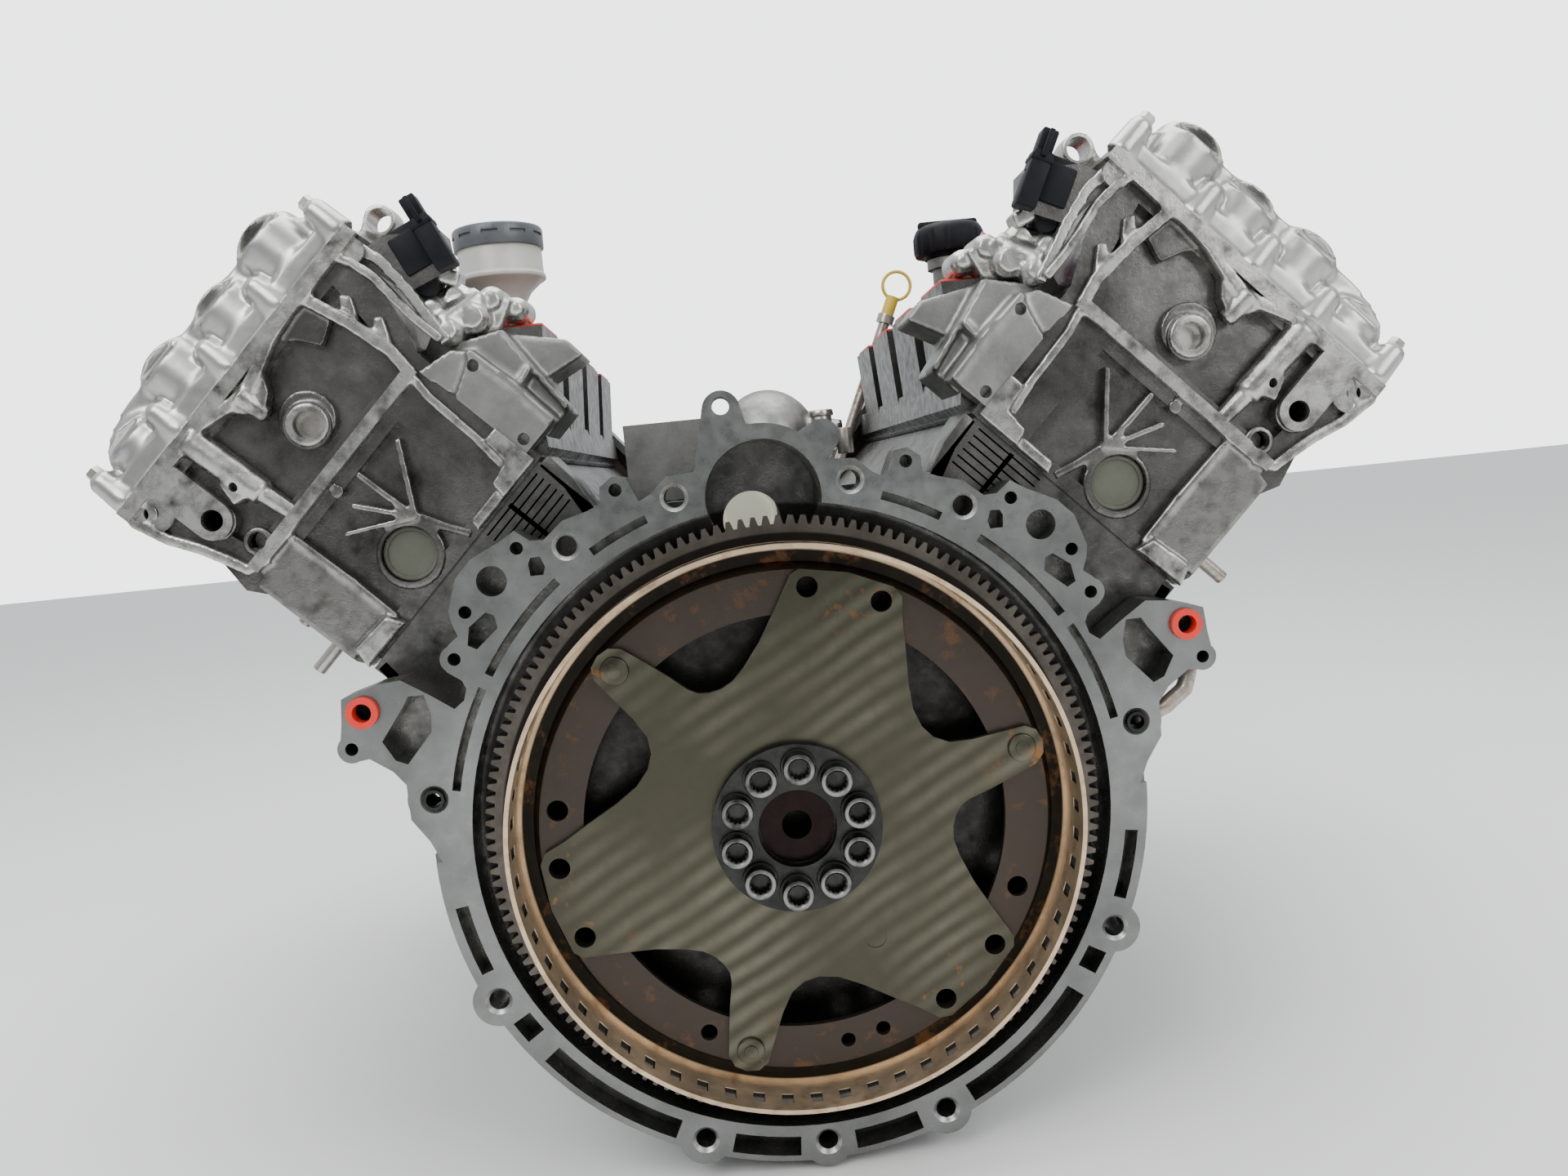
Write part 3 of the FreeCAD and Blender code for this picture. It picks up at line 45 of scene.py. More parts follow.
REAR_FACE = {"left": 46.0, "right": 26.0}
PORT_FIRST = {"left": 113.0, "right": 93.0}
SPACING = 108.0
FRONT_END = 567.0
SIDES = ("left", "right")


# ---------------------------------------------------------------- shaping helpers, in millimetres
# Pieces of a bank are made upright, with v across the head and u up the bore, then turned by to_bank.

def clear():
    if bpy.context.mode != "OBJECT":
        bpy.ops.object.mode_set(mode="OBJECT")
    bpy.ops.object.select_all(action="DESELECT")


def pick(obj):
    clear()
    obj.select_set(True)
    bpy.context.view_layer.objects.active = obj


def settle(obj):
    pick(obj)
    bpy.ops.object.transform_apply(location=True, rotation=True, scale=True)
    return obj


def block(x0, x1, y0, y1, z0, z1):
    clear()
    middle = Vector(((x0 + x1) / 2, (y0 + y1) / 2, (z0 + z1) / 2)) * MM
    bpy.ops.mesh.primitive_cube_add(size=1, location=middle)
    obj = bpy.context.object
    obj.scale = ((x1 - x0) * MM, (y1 - y0) * MM, (z1 - z0) * MM)
    return settle(obj)


def rod(start, end, radius, far_radius=None, sides=40):
    a, b = Vector(start) * MM, Vector(end) * MM
    clear()
    far = radius if far_radius is None else far_radius
    bpy.ops.mesh.primitive_cone_add(vertices=sides, radius1=radius * MM, radius2=far * MM,
                                    depth=(b - a).length, location=(a + b) / 2)
    obj = bpy.context.object
    obj.rotation_euler = (b - a).to_track_quat("Z", "Y").to_euler()
    return settle(obj)


def disc(radius, y0, y1, x=0.0, z=0.0, sides=40):
    return rod((x, y0, z), (x, y1, z), radius, sides=sides)


def ball(radius, x, y, z):
    clear()
    bpy.ops.mesh.primitive_uv_sphere_add(segments=32, ring_count=16, radius=radius * MM,
                                         location=(x * MM, y * MM, z * MM))
    return settle(bpy.context.object)


def outline(points, y0, y1):
    clear()
    bpy.ops.mesh.primitive_circle_add(vertices=len(points), radius=1, fill_type="NGON")
    obj = bpy.context.object
    for vertex, (x, z) in zip(obj.data.vertices, points):
        vertex.co = (x * MM, y0 * MM, z * MM)
    bpy.ops.object.mode_set(mode="EDIT")
    bpy.ops.mesh.select_all(action="SELECT")
    push = (0, (y1 - y0) * MM, 0)
    bpy.ops.mesh.extrude_region_move(TRANSFORM_OT_translate={"value": push})
    bpy.ops.mesh.select_all(action="SELECT")
    bpy.ops.mesh.normals_make_consistent(inside=False)
    bpy.ops.object.mode_set(mode="OBJECT")
    return obj


def ridge(points, width, y0, y1):
    left, right = [], []
    for index, (x, z) in enumerate(points):
        ax, az = points[max(index - 1, 0)]
        bx, bz = points[min(index + 1, len(points) - 1)]
        run = Vector((bx - ax, bz - az)).normalized() * (width / 2)
        left.append((x - run.y, z + run.x))
        right.append((x + run.y, z - run.x))
    return outline(left + right[::-1], y0, y1)


def unite(pieces, name):
    clear()
    for piece in pieces:
        piece.select_set(True)
    bpy.context.view_layer.objects.active = pieces[0]
    if len(pieces) > 1:
        bpy.ops.object.join()
    obj = bpy.context.object
    obj.name = name
    obj.data.name = name
    return obj


def apply_new(obj, kind, **values):
    pick(obj)
    modifier = obj.modifiers.new(kind.lower(), kind)
    for key, value in values.items():
        setattr(modifier, key, value)
    bpy.ops.object.modifier_apply(modifier=modifier.name)
    return obj


def soften(obj, width):
    return apply_new(obj, "BEVEL", width=width * MM, segments=2, limit_method="ANGLE",
                     angle_limit=SOFT_EDGE, use_clamp_overlap=True)


def carve(obj, cutters):
    for cutter in cutters:
        apply_new(obj, "BOOLEAN", operation="DIFFERENCE", object=cutter, solver="EXACT")
        bpy.data.objects.remove(cutter, do_unlink=True)
    return obj


def cast(obj, grain, rounds):
    apply_new(obj, "REMESH", mode="VOXEL", voxel_size=grain * MM, use_smooth_shade=True)
    return apply_new(obj, "SMOOTH", factor=0.5, iterations=rounds)


def copy_of(obj, name):
    twin = obj.copy()
    twin.data = obj.data.copy()
    bpy.context.scene.collection.objects.link(twin)
    twin.name = name
    twin.data.name = name
    return twin


def to_bank(obj, side, shift=0.0):
    obj.location = (0, shift * MM, 0)
    if side == "right":
        obj.scale = (-1, 1, 1)
    settle(obj)
    obj.rotation_euler = (0, -BANK_TURN if side == "left" else BANK_TURN, 0)
    settle(obj)
    if side == "right":
        bpy.ops.object.mode_set(mode="EDIT")
        bpy.ops.mesh.select_all(action="SELECT")
        bpy.ops.mesh.normals_make_consistent(inside=False)
        bpy.ops.object.mode_set(mode="OBJECT")
    return obj


def finish(obj, slot, body="engine", angle=40.0, replaces=(), material=None):
    pick(obj)
    bpy.ops.object.shade_smooth_by_angle(angle=math.radians(angle))
    obj.data.materials.clear()
    obj.data.materials.append(material or FINISH[slot])
    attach(obj, body)
    if replaces:
        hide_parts(*replaces)
    return obj


# ---------------------------------------------------------------- finishes

def add(tree, kind, **values):
    node = tree.nodes.new(kind)
    for key, value in values.items():
        setattr(node, key, value)
    return node


def group(name, inputs, outputs):
    tree = bpy.data.node_groups.new(name, "ShaderNodeTree")
    for label, kind, value in inputs:
        socket = tree.interface.new_socket(name=label, in_out="INPUT", socket_type=kind)
        if value is not None:
            socket.default_value = value
    for label, kind in outputs:
        tree.interface.new_socket(name=label, in_out="OUTPUT", socket_type=kind)
    return tree, add(tree, "NodeGroupInput"), add(tree, "NodeGroupOutput")


def noise(tree, vector, scale, detail=4.0, rough=0.55):
    node = add(tree, "ShaderNodeTexNoise")
    node.inputs["Scale"].default_value = scale
    node.inputs["Detail"].default_value = detail
    node.inputs["Roughness"].default_value = rough
    tree.links.new(vector, node.inputs["Vector"])
    return node.outputs["Fac"]


def ramp(tree, value, low, high, out_low=0.0, out_high=1.0):
    node = add(tree, "ShaderNodeMapRange")
    for label, number in (("From Min", low), ("From Max", high), ("To Min", out_low), ("To Max", out_high)):
        node.inputs[label].default_value = number
    tree.links.new(value, node.inputs["Value"])
    return node.outputs["Result"]


def sum_up(tree, kind, a, b):
    node = add(tree, "ShaderNodeMath", operation=kind, use_clamp=True)
    for socket, value in ((node.inputs[0], a), (node.inputs[1], b)):
        if isinstance(value, (int, float)):
            socket.default_value = value
        else:
            tree.links.new(value, socket)
    return node.outputs[0]


def blend(tree, mask, low, high):
    node = add(tree, "ShaderNodeMix", data_type="RGBA")
    tree.links.new(mask, node.inputs["Factor"])
    for socket, value in ((node.inputs["A"], low), (node.inputs["B"], high)):
        if isinstance(value, tuple):
            socket.default_value = (*value, 1.0)
        else:
            tree.links.new(value, socket)
    return node.outputs["Result"]


def grime_group():
    tree, inside, outside = group("oil_film", [("Vector", "NodeSocketVector", None),
                                               ("Amount", "NodeSocketFloat", 0.5)],
                                  [("Mask", "NodeSocketFloat"), ("Sheen", "NodeSocketFloat")])
    broad = noise(tree, inside.outputs["Vector"], 22.0, 6.0, 0.65)
    fine = noise(tree, inside.outputs["Vector"], 120.0, 5.0, 0.6)
    mixed = sum_up(tree, "ADD", sum_up(tree, "MULTIPLY", broad, 0.65), sum_up(tree, "MULTIPLY", fine, 0.35))
    shifted = sum_up(tree, "ADD", mixed, sum_up(tree, "SUBTRACT", inside.outputs["Amount"], 0.5))
    tree.links.new(ramp(tree, shifted, 0.34, 0.7), outside.inputs["Mask"])
    tree.links.new(ramp(tree, fine, 0.35, 0.7), outside.inputs["Sheen"])
    return tree


def cast_group():
    tree, inside, outside = group("sand_grain", [("Vector", "NodeSocketVector", None)],
                                  [("Height", "NodeSocketFloat"), ("Tone", "NodeSocketFloat")])
    coarse = noise(tree, inside.outputs["Vector"], 420.0, 3.0, 0.6)
    fine = noise(tree, inside.outputs["Vector"], 1500.0, 2.0, 0.6)
    height = sum_up(tree, "ADD", sum_up(tree, "MULTIPLY", coarse, 0.6), sum_up(tree, "MULTIPLY", fine, 0.4))
    tree.links.new(height, outside.inputs["Height"])
    patches = noise(tree, inside.outputs["Vector"], 40.0, 5.0)
    tree.links.new(ramp(tree, patches, 0.3, 0.7), outside.inputs["Tone"])
    return tree


def rust_group():
    tree, inside, outside = group("rust_bloom", [("Vector", "NodeSocketVector", None),
                                                 ("Amount", "NodeSocketFloat", 0.5)],
                                  [("Mask", "NodeSocketFloat"), ("Colour", "NodeSocketColor")])
    broad = noise(tree, inside.outputs["Vector"], 9.0, 6.0, 0.65)
    fine = noise(tree, inside.outputs["Vector"], 160.0, 4.0, 0.7)
    shifted = sum_up(tree, "ADD", broad, sum_up(tree, "SUBTRACT", inside.outputs["Amount"], 0.5))
    patch = ramp(tree, shifted, 0.5, 0.66)
    speck = ramp(tree, fine, 0.35, 0.6)
    tree.links.new(sum_up(tree, "MULTIPLY", patch, speck), outside.inputs["Mask"])
    tree.links.new(blend(tree, fine, (0.10, 0.035, 0.012), (0.28, 0.12, 0.045)), outside.inputs["Colour"])
    return tree


def zone_group():
    tree, inside, outside = group("turned_zone", [("Vector", "NodeSocketVector", None),
                                                  ("Inner", "NodeSocketFloat", 0.0),
                                                  ("Outer", "NodeSocketFloat", 1.0)],
                                  [("Mask", "NodeSocketFloat")])
    flat = add(tree, "ShaderNodeVectorMath", operation="MULTIPLY")
    tree.links.new(inside.outputs["Vector"], flat.inputs[0])
    flat.inputs[1].default_value = (1.0, 0.0, 1.0)
    reach = add(tree, "ShaderNodeVectorMath", operation="LENGTH")
    tree.links.new(flat.outputs["Vector"], reach.inputs[0])
    node = add(tree, "ShaderNodeMapRange")
    tree.links.new(reach.outputs["Value"], node.inputs["Value"])
    tree.links.new(inside.outputs["Inner"], node.inputs["From Min"])
    tree.links.new(inside.outputs["Outer"], node.inputs["From Max"])
    tree.links.new(node.outputs["Result"], outside.inputs["Mask"])
    return tree


def machined_group():
    tree, inside, outside = group("machined_face", [("Vector", "NodeSocketVector", None),
                                                    ("Normal", "NodeSocketVector", None),
                                                    ("Plane", "NodeSocketFloat", 0.0)],
                                  [("Mask", "NodeSocketFloat"), ("Chamfer", "NodeSocketFloat")])
    where = add(tree, "ShaderNodeSeparateXYZ")
    facing = add(tree, "ShaderNodeSeparateXYZ")
    tree.links.new(inside.outputs["Vector"], where.inputs[0])
    tree.links.new(inside.outputs["Normal"], facing.inputs[0])
    rearward = ramp(tree, facing.outputs["Y"], -0.9, -0.97)
    offset = add(tree, "ShaderNodeMath", operation="SUBTRACT")
    tree.links.new(where.outputs["Y"], offset.inputs[0])
    tree.links.new(inside.outputs["Plane"], offset.inputs[1])
    near = ramp(tree, offset.outputs[0], 0.0016, 0.0006)
    tree.links.new(sum_up(tree, "MULTIPLY", rearward, near), outside.inputs["Mask"])
    shallow = ramp(tree, offset.outputs[0], 0.0040, 0.0022)
    steep = sum_up(tree, "MULTIPLY", ramp(tree, facing.outputs["Y"], -0.35, -0.5),
                   ramp(tree, facing.outputs["Y"], -0.92, -0.8))
    tree.links.new(sum_up(tree, "MULTIPLY", steep, shallow), outside.inputs["Chamfer"])
    return tree


# painted highlight: faces standing proud towards the camera are lightened, broken up by noise
def proud_highlight_group():
    tree, inside, outside = group("proud_ridge_highlight", [("Vector", "NodeSocketVector", None),
                                                    ("Deep", "NodeSocketFloat", 0.0),
                                                    ("Proud", "NodeSocketFloat", 0.0)],
                                  [("Mask", "NodeSocketFloat")])
    where = add(tree, "ShaderNodeSeparateXYZ")
    tree.links.new(inside.outputs["Vector"], where.inputs[0])
    node = add(tree, "ShaderNodeMapRange")
    tree.links.new(where.outputs["Y"], node.inputs["Value"])
    tree.links.new(inside.outputs["Deep"], node.inputs["From Min"])
    tree.links.new(inside.outputs["Proud"], node.inputs["From Max"])
    broken_up = ramp(tree, noise(tree, inside.outputs["Vector"], 90.0, 4.0), 0.3, 0.55)
    tree.links.new(sum_up(tree, "MULTIPLY", node.outputs["Result"], broken_up), outside.inputs["Mask"])
    return tree


OIL, GRAIN, RUST, MACHINED = grime_group(), cast_group(), rust_group(), machined_group()
PROUD_HIGHLIGHT = proud_highlight_group()
ZONE = zone_group()


class Finish:
    def __init__(self, name, metallic):
        self.material = bpy.data.materials.new(name)
        self.material.use_nodes = True
        self.tree = self.material.node_tree
        self.shader = self.tree.nodes["Principled BSDF"]
        self.shader.inputs["Metallic"].default_value = metallic
        self.shader.inputs["IOR"].default_value = 1.5
        place = add(self.tree, "ShaderNodeTexCoord")
        self.vector = place.outputs["Object"]
        self.normal = place.outputs["Normal"]

    def use(self, tree, **values):
        node = add(self.tree, "ShaderNodeGroup", node_tree=tree)
        self.tree.links.new(self.vector, node.inputs["Vector"])
        for key, value in values.items():
            node.inputs[key].default_value = value
        return node

    def drive(self, label, value):
        self.tree.links.new(value, self.shader.inputs[label])

    def bump(self, height, strength, distance=0.0005):
        node = add(self.tree, "ShaderNodeBump")
        node.inputs["Strength"].default_value = strength
        node.inputs["Distance"].default_value = distance
        self.tree.links.new(height, node.inputs["Height"])
        self.drive("Normal", node.outputs["Normal"])


# Zones about the crank axis, in metres: where each starts and where it is full, as radii, then its colour.
# painted shade: the block inside this radius is darkened most of the way to black
BELL_EDGE = (0.1722, 0.1705)
# painted shade: a near-black ring in the groove between the pressed plate and the tan band
DISH_GROOVE_SHADE = (0.1365, 0.141, (0.010, 0.008, 0.006))
TAN_BAND = (0.1473, 0.1483, (0.80, 0.61, 0.41))
# painted shade in the rim's windows, darkening the wall that holds them: its radius and the two ends of the
# windows along the axis
BAND_WINDOW_SHADE = (0.1502, -0.0172, -0.0068)
# the gear is darker inside this radius
GEAR_SHADOW = 0.1575
# painted shade: the black that darkens the block inside the bell edge
BELL_SHADE_BLACK = (0.008, 0.007, 0.006)
# painted reflection: the wave of streaks reflected on a pressed plate, then the fineness of steel and of
# moulded plastic
STREAK_REFLECTION = (("Scale", 29.0), ("Distortion", 4.5), ("Detail", 2.0), ("Detail Scale", 0.28))
STEEL_GRAIN = 900.0
MOULD_GRAIN = 1400.0


def cast_metal(name, dark, light, oil, metallic, rough, machined=None, planes=(), grain=0.35, ridge_highlight=None):
    look = Finish(name, metallic)
    tree = look.tree
    film = look.use(OIL, Amount=oil)
    sand = look.use(GRAIN)
    colour = blend(tree, film.outputs["Mask"], light, dark)
    colour = blend(tree, sum_up(tree, "MULTIPLY", sand.outputs["Tone"], 0.25), colour, dark)
    roughness = ramp(tree, film.outputs["Sheen"], 0.0, 1.0, rough[0], rough[1])
    height = sand.outputs["Height"]
    for plane in planes:
        face = look.use(MACHINED, Plane=plane)
        tree.links.new(look.normal, face.inputs["Normal"])
        smudge = ramp(tree, noise(tree, look.vector, 16.0, 5.0, 0.6), 0.35, 0.65)
        toned = blend(tree, smudge, tuple(c * 0.72 for c in machined), tuple(c * 1.25 for c in machined))
        colour = blend(tree, face.outputs["Mask"], colour, toned)
        glint = sum_up(tree, "MULTIPLY", face.outputs["Chamfer"], 0.6)
        colour = blend(tree, glint, colour, (0.55, 0.56, 0.55))
        keep = sum_up(tree, "SUBTRACT", 1.0, face.outputs["Mask"])
        height = sum_up(tree, "MULTIPLY", height, keep)
    if planes:
        # painted shade inside the bell edge
        bell = look.use(ZONE, Inner=BELL_EDGE[0], Outer=BELL_EDGE[1])
        depth = sum_up(tree, "MULTIPLY", bell.outputs["Mask"], 0.82)
        colour = blend(tree, depth, colour, BELL_SHADE_BLACK)
    # painted highlight on the proud ridges
    if ridge_highlight:
        highlight, deep, proud = ridge_highlight
        ridge_light = look.use(PROUD_HIGHLIGHT, Deep=deep, Proud=proud)
        colour = blend(tree, ridge_light.outputs["Mask"], colour, highlight)
    look.drive("Base Color", colour)
    look.drive("Roughness", roughness)
    look.bump(height, grain)
    return look.material


def worn_steel(name, base, shade, rough, metallic=0.85, rust=0.3, shadow=None):
    look = Finish(name, metallic)
    tree = look.tree
    film = look.use(OIL, Amount=0.4)
    colour = blend(tree, film.outputs["Mask"], base, shade)
    if rust:
        bloom = look.use(RUST, Amount=rust)
        colour = blend(tree, bloom.outputs["Mask"], colour, bloom.outputs["Colour"])
        look.drive("Metallic", ramp(tree, bloom.outputs["Mask"], 0.0, 1.0, metallic, 0.2))
    if shadow:
        inner = look.use(ZONE, Inner=shadow, Outer=shadow - 0.001)
        colour = blend(tree, inner.outputs["Mask"], colour, (0.014, 0.012, 0.010))
    look.drive("Base Color", colour)
    look.drive("Roughness", ramp(tree, film.outputs["Sheen"], 0.0, 1.0, rough[0], rough[1]))
    look.bump(noise(tree, look.vector, STEEL_GRAIN, 3.0), 0.12, 0.0003)
    return look.material


def moulded(name, base, light, rough, gloss=0.5):
    look = Finish(name, 0.0)
    tree = look.tree
    film = look.use(OIL, Amount=0.5)
    look.drive("Base Color", blend(tree, film.outputs["Mask"], base, light))
    look.drive("Roughness", ramp(tree, film.outputs["Sheen"], 0.0, 1.0, rough[0], rough[1]))
    look.bump(noise(tree, look.vector, MOULD_GRAIN, 2.0), 0.15, 0.0002)
    look.shader.inputs["Specular IOR Level"].default_value = gloss
    return look.material


# painted light: the disc glows in its own colour, standing in for light shining through it from behind
def glowing_disc(name, base, stain):
    look = Finish(name, 0.0)
    tree = look.tree
    film = look.use(OIL, Amount=0.45)
    colour = blend(tree, film.outputs["Mask"], base, stain)
    look.drive("Base Color", colour)
    look.drive("Emission Color", colour)
    look.shader.inputs["Emission Strength"].default_value = 0.55
    look.shader.inputs["Roughness"].default_value = 0.45
    return look.material


def disc_steel(name, base, zones, rough, reflection_streak=0.0, rust=0.0, windows=None):
    look = Finish(name, metallic=0.85)
    tree = look.tree
    colour = base
    for inner, outer, shade in zones:
        ring = look.use(ZONE, Inner=inner, Outer=outer)
        colour = blend(tree, ring.outputs["Mask"], colour, shade)
    # painted reflection: diagonal streaks lightened onto the plate
    if reflection_streak:
        turn = add(tree, "ShaderNodeMapping")
        turn.inputs["Rotation"].default_value = (0.0, math.radians(28.0), 0.0)
        tree.links.new(look.vector, turn.inputs["Vector"])
        wave = add(tree, "ShaderNodeTexWave", bands_direction="Z")
        for label, number in STREAK_REFLECTION:
            wave.inputs[label].default_value = number
        tree.links.new(turn.outputs["Vector"], wave.inputs["Vector"])
        patch = ramp(tree, noise(tree, look.vector, 11.0, 2.0), 0.42, 0.66)
        glint = sum_up(tree, "MULTIPLY", wave.outputs["Fac"], patch)
        colour = blend(tree, ramp(tree, glint, 0.0, 1.0, 0.0, reflection_streak), colour, (0.25, 0.24, 0.18))
    oily = look.use(OIL, Amount=0.5)
    colour = blend(tree, ramp(tree, oily.outputs["Mask"], 0.0, 1.0, 0.0, 0.55), colour, (0.03, 0.027, 0.02))
    if rust:
        spots = ramp(tree, noise(tree, look.vector, 60.0, 5.0, 0.7), 0.56, 0.66)
        edge = look.use(ZONE, Inner=0.100, Outer=0.135)
        spots = sum_up(tree, "MULTIPLY", spots, edge.outputs["Mask"])
        colour = blend(tree, ramp(tree, spots, 0.0, 1.0, 0.0, rust), colour, (0.26, 0.11, 0.035))
    # painted shade: the wall inside the rim's windows is darkened to near black
    if windows:
        skin, front, back = windows
        wall = look.use(ZONE, Inner=skin, Outer=skin + 0.0003)
        where = add(tree, "ShaderNodeSeparateXYZ")
        tree.links.new(look.vector, where.inputs[0])
        behind = ramp(tree, where.outputs["Y"], front, front + 0.0003)
        before = ramp(tree, where.outputs["Y"], back, back - 0.0003)
        shade = sum_up(tree, "MULTIPLY", wall.outputs["Mask"], sum_up(tree, "MULTIPLY", behind, before))
        colour = blend(tree, shade, colour, (0.012, 0.010, 0.008))
    look.drive("Base Color", colour)
    look.drive("Roughness", ramp(tree, oily.outputs["Mask"], 0.0, 1.0, rough[1], rough[0]))
    grain = look.use(GRAIN)
    look.bump(grain.outputs["Height"], 0.15)
    return look.material


FINISH = {
    "cast_aluminium": cast_metal("oily_cast", (0.020, 0.020, 0.018), (0.23, 0.225, 0.21), 0.52, 0.85,
                                 (0.22, 0.42), (0.185, 0.19, 0.185), (0.0,)),
    "cover_aluminium": cast_metal("bright_cast", (0.36, 0.36, 0.345), (0.62, 0.62, 0.60), 0.34, 0.95,
                                  (0.26, 0.38), grain=0.06),
    "dull_aluminium": cast_metal("dull_cast", (0.10, 0.10, 0.095), (0.38, 0.375, 0.355), 0.46, 0.85,
                                 (0.3, 0.46)),
    "port_cast": cast_metal("port_cast", (0.13, 0.13, 0.125), (0.40, 0.40, 0.385), 0.42, 0.85, (0.32, 0.46)),
    "bright_casting": cast_metal("bright_boss", (0.28, 0.28, 0.25), (0.72, 0.72, 0.69), 0.42, 0.92,
                                 (0.2, 0.36)),
    "forged_steel": worn_steel("forged", (0.36, 0.35, 0.33), (0.14, 0.13, 0.12), (0.25, 0.45), rust=0.15),
    "flexplate_steel": disc_steel("pressed_plate", (0.066, 0.063, 0.043), (), (0.24, 0.4), 0.5, 0.9),
    "rim_steel": disc_steel("tinted_rim", (0.062, 0.048, 0.040), (DISH_GROOVE_SHADE, TAN_BAND), (0.34, 0.5),
                            0.0, 0.3, windows=BAND_WINDOW_SHADE),
    "crank_end": worn_steel("crank_end", (0.050, 0.046, 0.038), (0.016, 0.015, 0.012), (0.22, 0.4),
                            0.9, 0.0),
    "cup_cream": moulded("cream_cup", (0.62, 0.62, 0.57), (0.48, 0.48, 0.43), (0.3, 0.42)),
    "gear_steel": worn_steel("dark_gear", (0.13, 0.115, 0.098), (0.040, 0.034, 0.029), (0.32, 0.5),
                             0.85, 0.0, shadow=GEAR_SHADOW),
    "bolt_steel": worn_steel("phosphated", (0.045, 0.045, 0.042), (0.014, 0.014, 0.013), (0.22, 0.38),
                             0.9, 0.0),
    "plated_steel": worn_steel("plated", (0.62, 0.61, 0.57), (0.3, 0.29, 0.26), (0.24, 0.38), 0.9, 0.06),
    "spring_steel": worn_steel("spring", (0.35, 0.35, 0.36), (0.2, 0.2, 0.2), (0.25, 0.4), 0.85, 0.1),
    "cast_iron_part": worn_steel("iron", (0.16, 0.15, 0.14), (0.07, 0.065, 0.06), (0.4, 0.6), 0.6, 0.28),
    "bush_bronze": worn_steel("bronze", (0.014, 0.007, 0.006), (0.006, 0.003, 0.003), (0.22, 0.36),
                              0.85, 0.0),
    "bearing_metal": worn_steel("lining", (0.5, 0.48, 0.45), (0.3, 0.28, 0.26), (0.25, 0.4), 0.85, 0.05),
    "gasket_steel": worn_steel("gasket", (0.12, 0.12, 0.13), (0.05, 0.05, 0.05), (0.35, 0.5), 0.6, 0.1),
    "red_rubber": moulded("red_seal", (0.72, 0.035, 0.02), (0.55, 0.02, 0.012), (0.35, 0.5)),
    "black_rubber": moulded("black_seal", (0.012, 0.012, 0.012), (0.03, 0.03, 0.03), (0.4, 0.6)),
    "black_plastic": moulded("black_moulding", (0.004, 0.004, 0.006), (0.010, 0.010, 0.013), (0.42, 0.6),
                             gloss=0.16),
    "smoked_plastic": moulded("smoked_ring", (0.085, 0.095, 0.105), (0.13, 0.14, 0.15), (0.25, 0.4)),
    "guide_plastic": moulded("guide_nylon", (0.08, 0.06, 0.04), (0.04, 0.03, 0.02), (0.35, 0.5)),
    "yellow_plastic": moulded("yellow_grip", (0.70, 0.52, 0.05), (0.55, 0.38, 0.04), (0.35, 0.5)),
    "pink_tag": moulded("pink_strip", (0.78, 0.10, 0.42), (0.62, 0.06, 0.30), (0.4, 0.55)),
    "dull_plug": moulded("olive_disc", (0.115, 0.122, 0.09), (0.06, 0.06, 0.045), (0.25, 0.4)),
    "pale_disc": glowing_disc("cream_disc_painted_glow", (0.78, 0.78, 0.62), (0.66, 0.66, 0.52)),
    "ceramic_white": moulded("glazed", (0.7, 0.69, 0.66), (0.6, 0.58, 0.54), (0.12, 0.25)),
}
# painted highlight: a light ring on the proud rims of the socket bolt heads
SOCKET_BOLT = cast_metal("socket_bolt", (0.012, 0.012, 0.011), (0.05, 0.05, 0.047), 0.5, 0.9, (0.22, 0.36),
                         grain=0.1, ridge_highlight=((0.26, 0.26, 0.25), -0.0196, -0.0206))
# painted highlight colour for the proud ridges of the heads
RIDGE_HIGHLIGHT = (0.46, 0.455, 0.425)
HEAD_FINISH = {}
for side in SIDES:
    face = REAR_FACE[side] * MM
    HEAD_FINISH[side] = cast_metal("head_cast_" + side, (0.016, 0.015, 0.013), (0.25, 0.245, 0.23), 0.52,
                                   0.88, (0.18, 0.38), ridge_highlight=(RIDGE_HIGHLIGHT, face - 0.0008, face - 0.0045))


def dress_frame():
    slots = {part["node"]: part["material_slot"] for part in frame["record"]["subparts"]}
    for name, node in frame["nodes"].items():
        material = FINISH[slots[name]]
        if not node.material_slots:
            node.data.materials.append(material)
        if name == "crankshaft":
            material = FINISH["crank_end"]
        if name in ("head_left", "head_right"):
            material = HEAD_FINISH[name.removeprefix("head_")]
        for index in range(len(node.material_slots)):
            node.material_slots[index].material = material


dress_frame()


# ---------------------------------------------------------------- cam covers

COVER_FLANGE = [(-104, 391), (-104, 401), (-96, 402.5), (88, 402.5), (95, 401), (95, 391)]
COVER_CROWN = [(-93, 400), (-91, 414), (-78, 424), (-58, 428), (62, 428), (77, 424), (86, 413), (86, 400)]
FLUTES = ((-71.0, 22.5, 417.0), (-27.0, 22.5, 428.0), (17.0, 22.5, 425.0), (60.0, 22.0, 429.0))
COVER_BOSSES = (-98.3, -49.0, -5.0, 38.5, 91.2)
SIDE_BOSS_STEP = 93.0
CROWN_START = 12.0
COVER_OVERLAP = 4.0
WELL_RADIUS = 16.0
CYLINDERS = 4


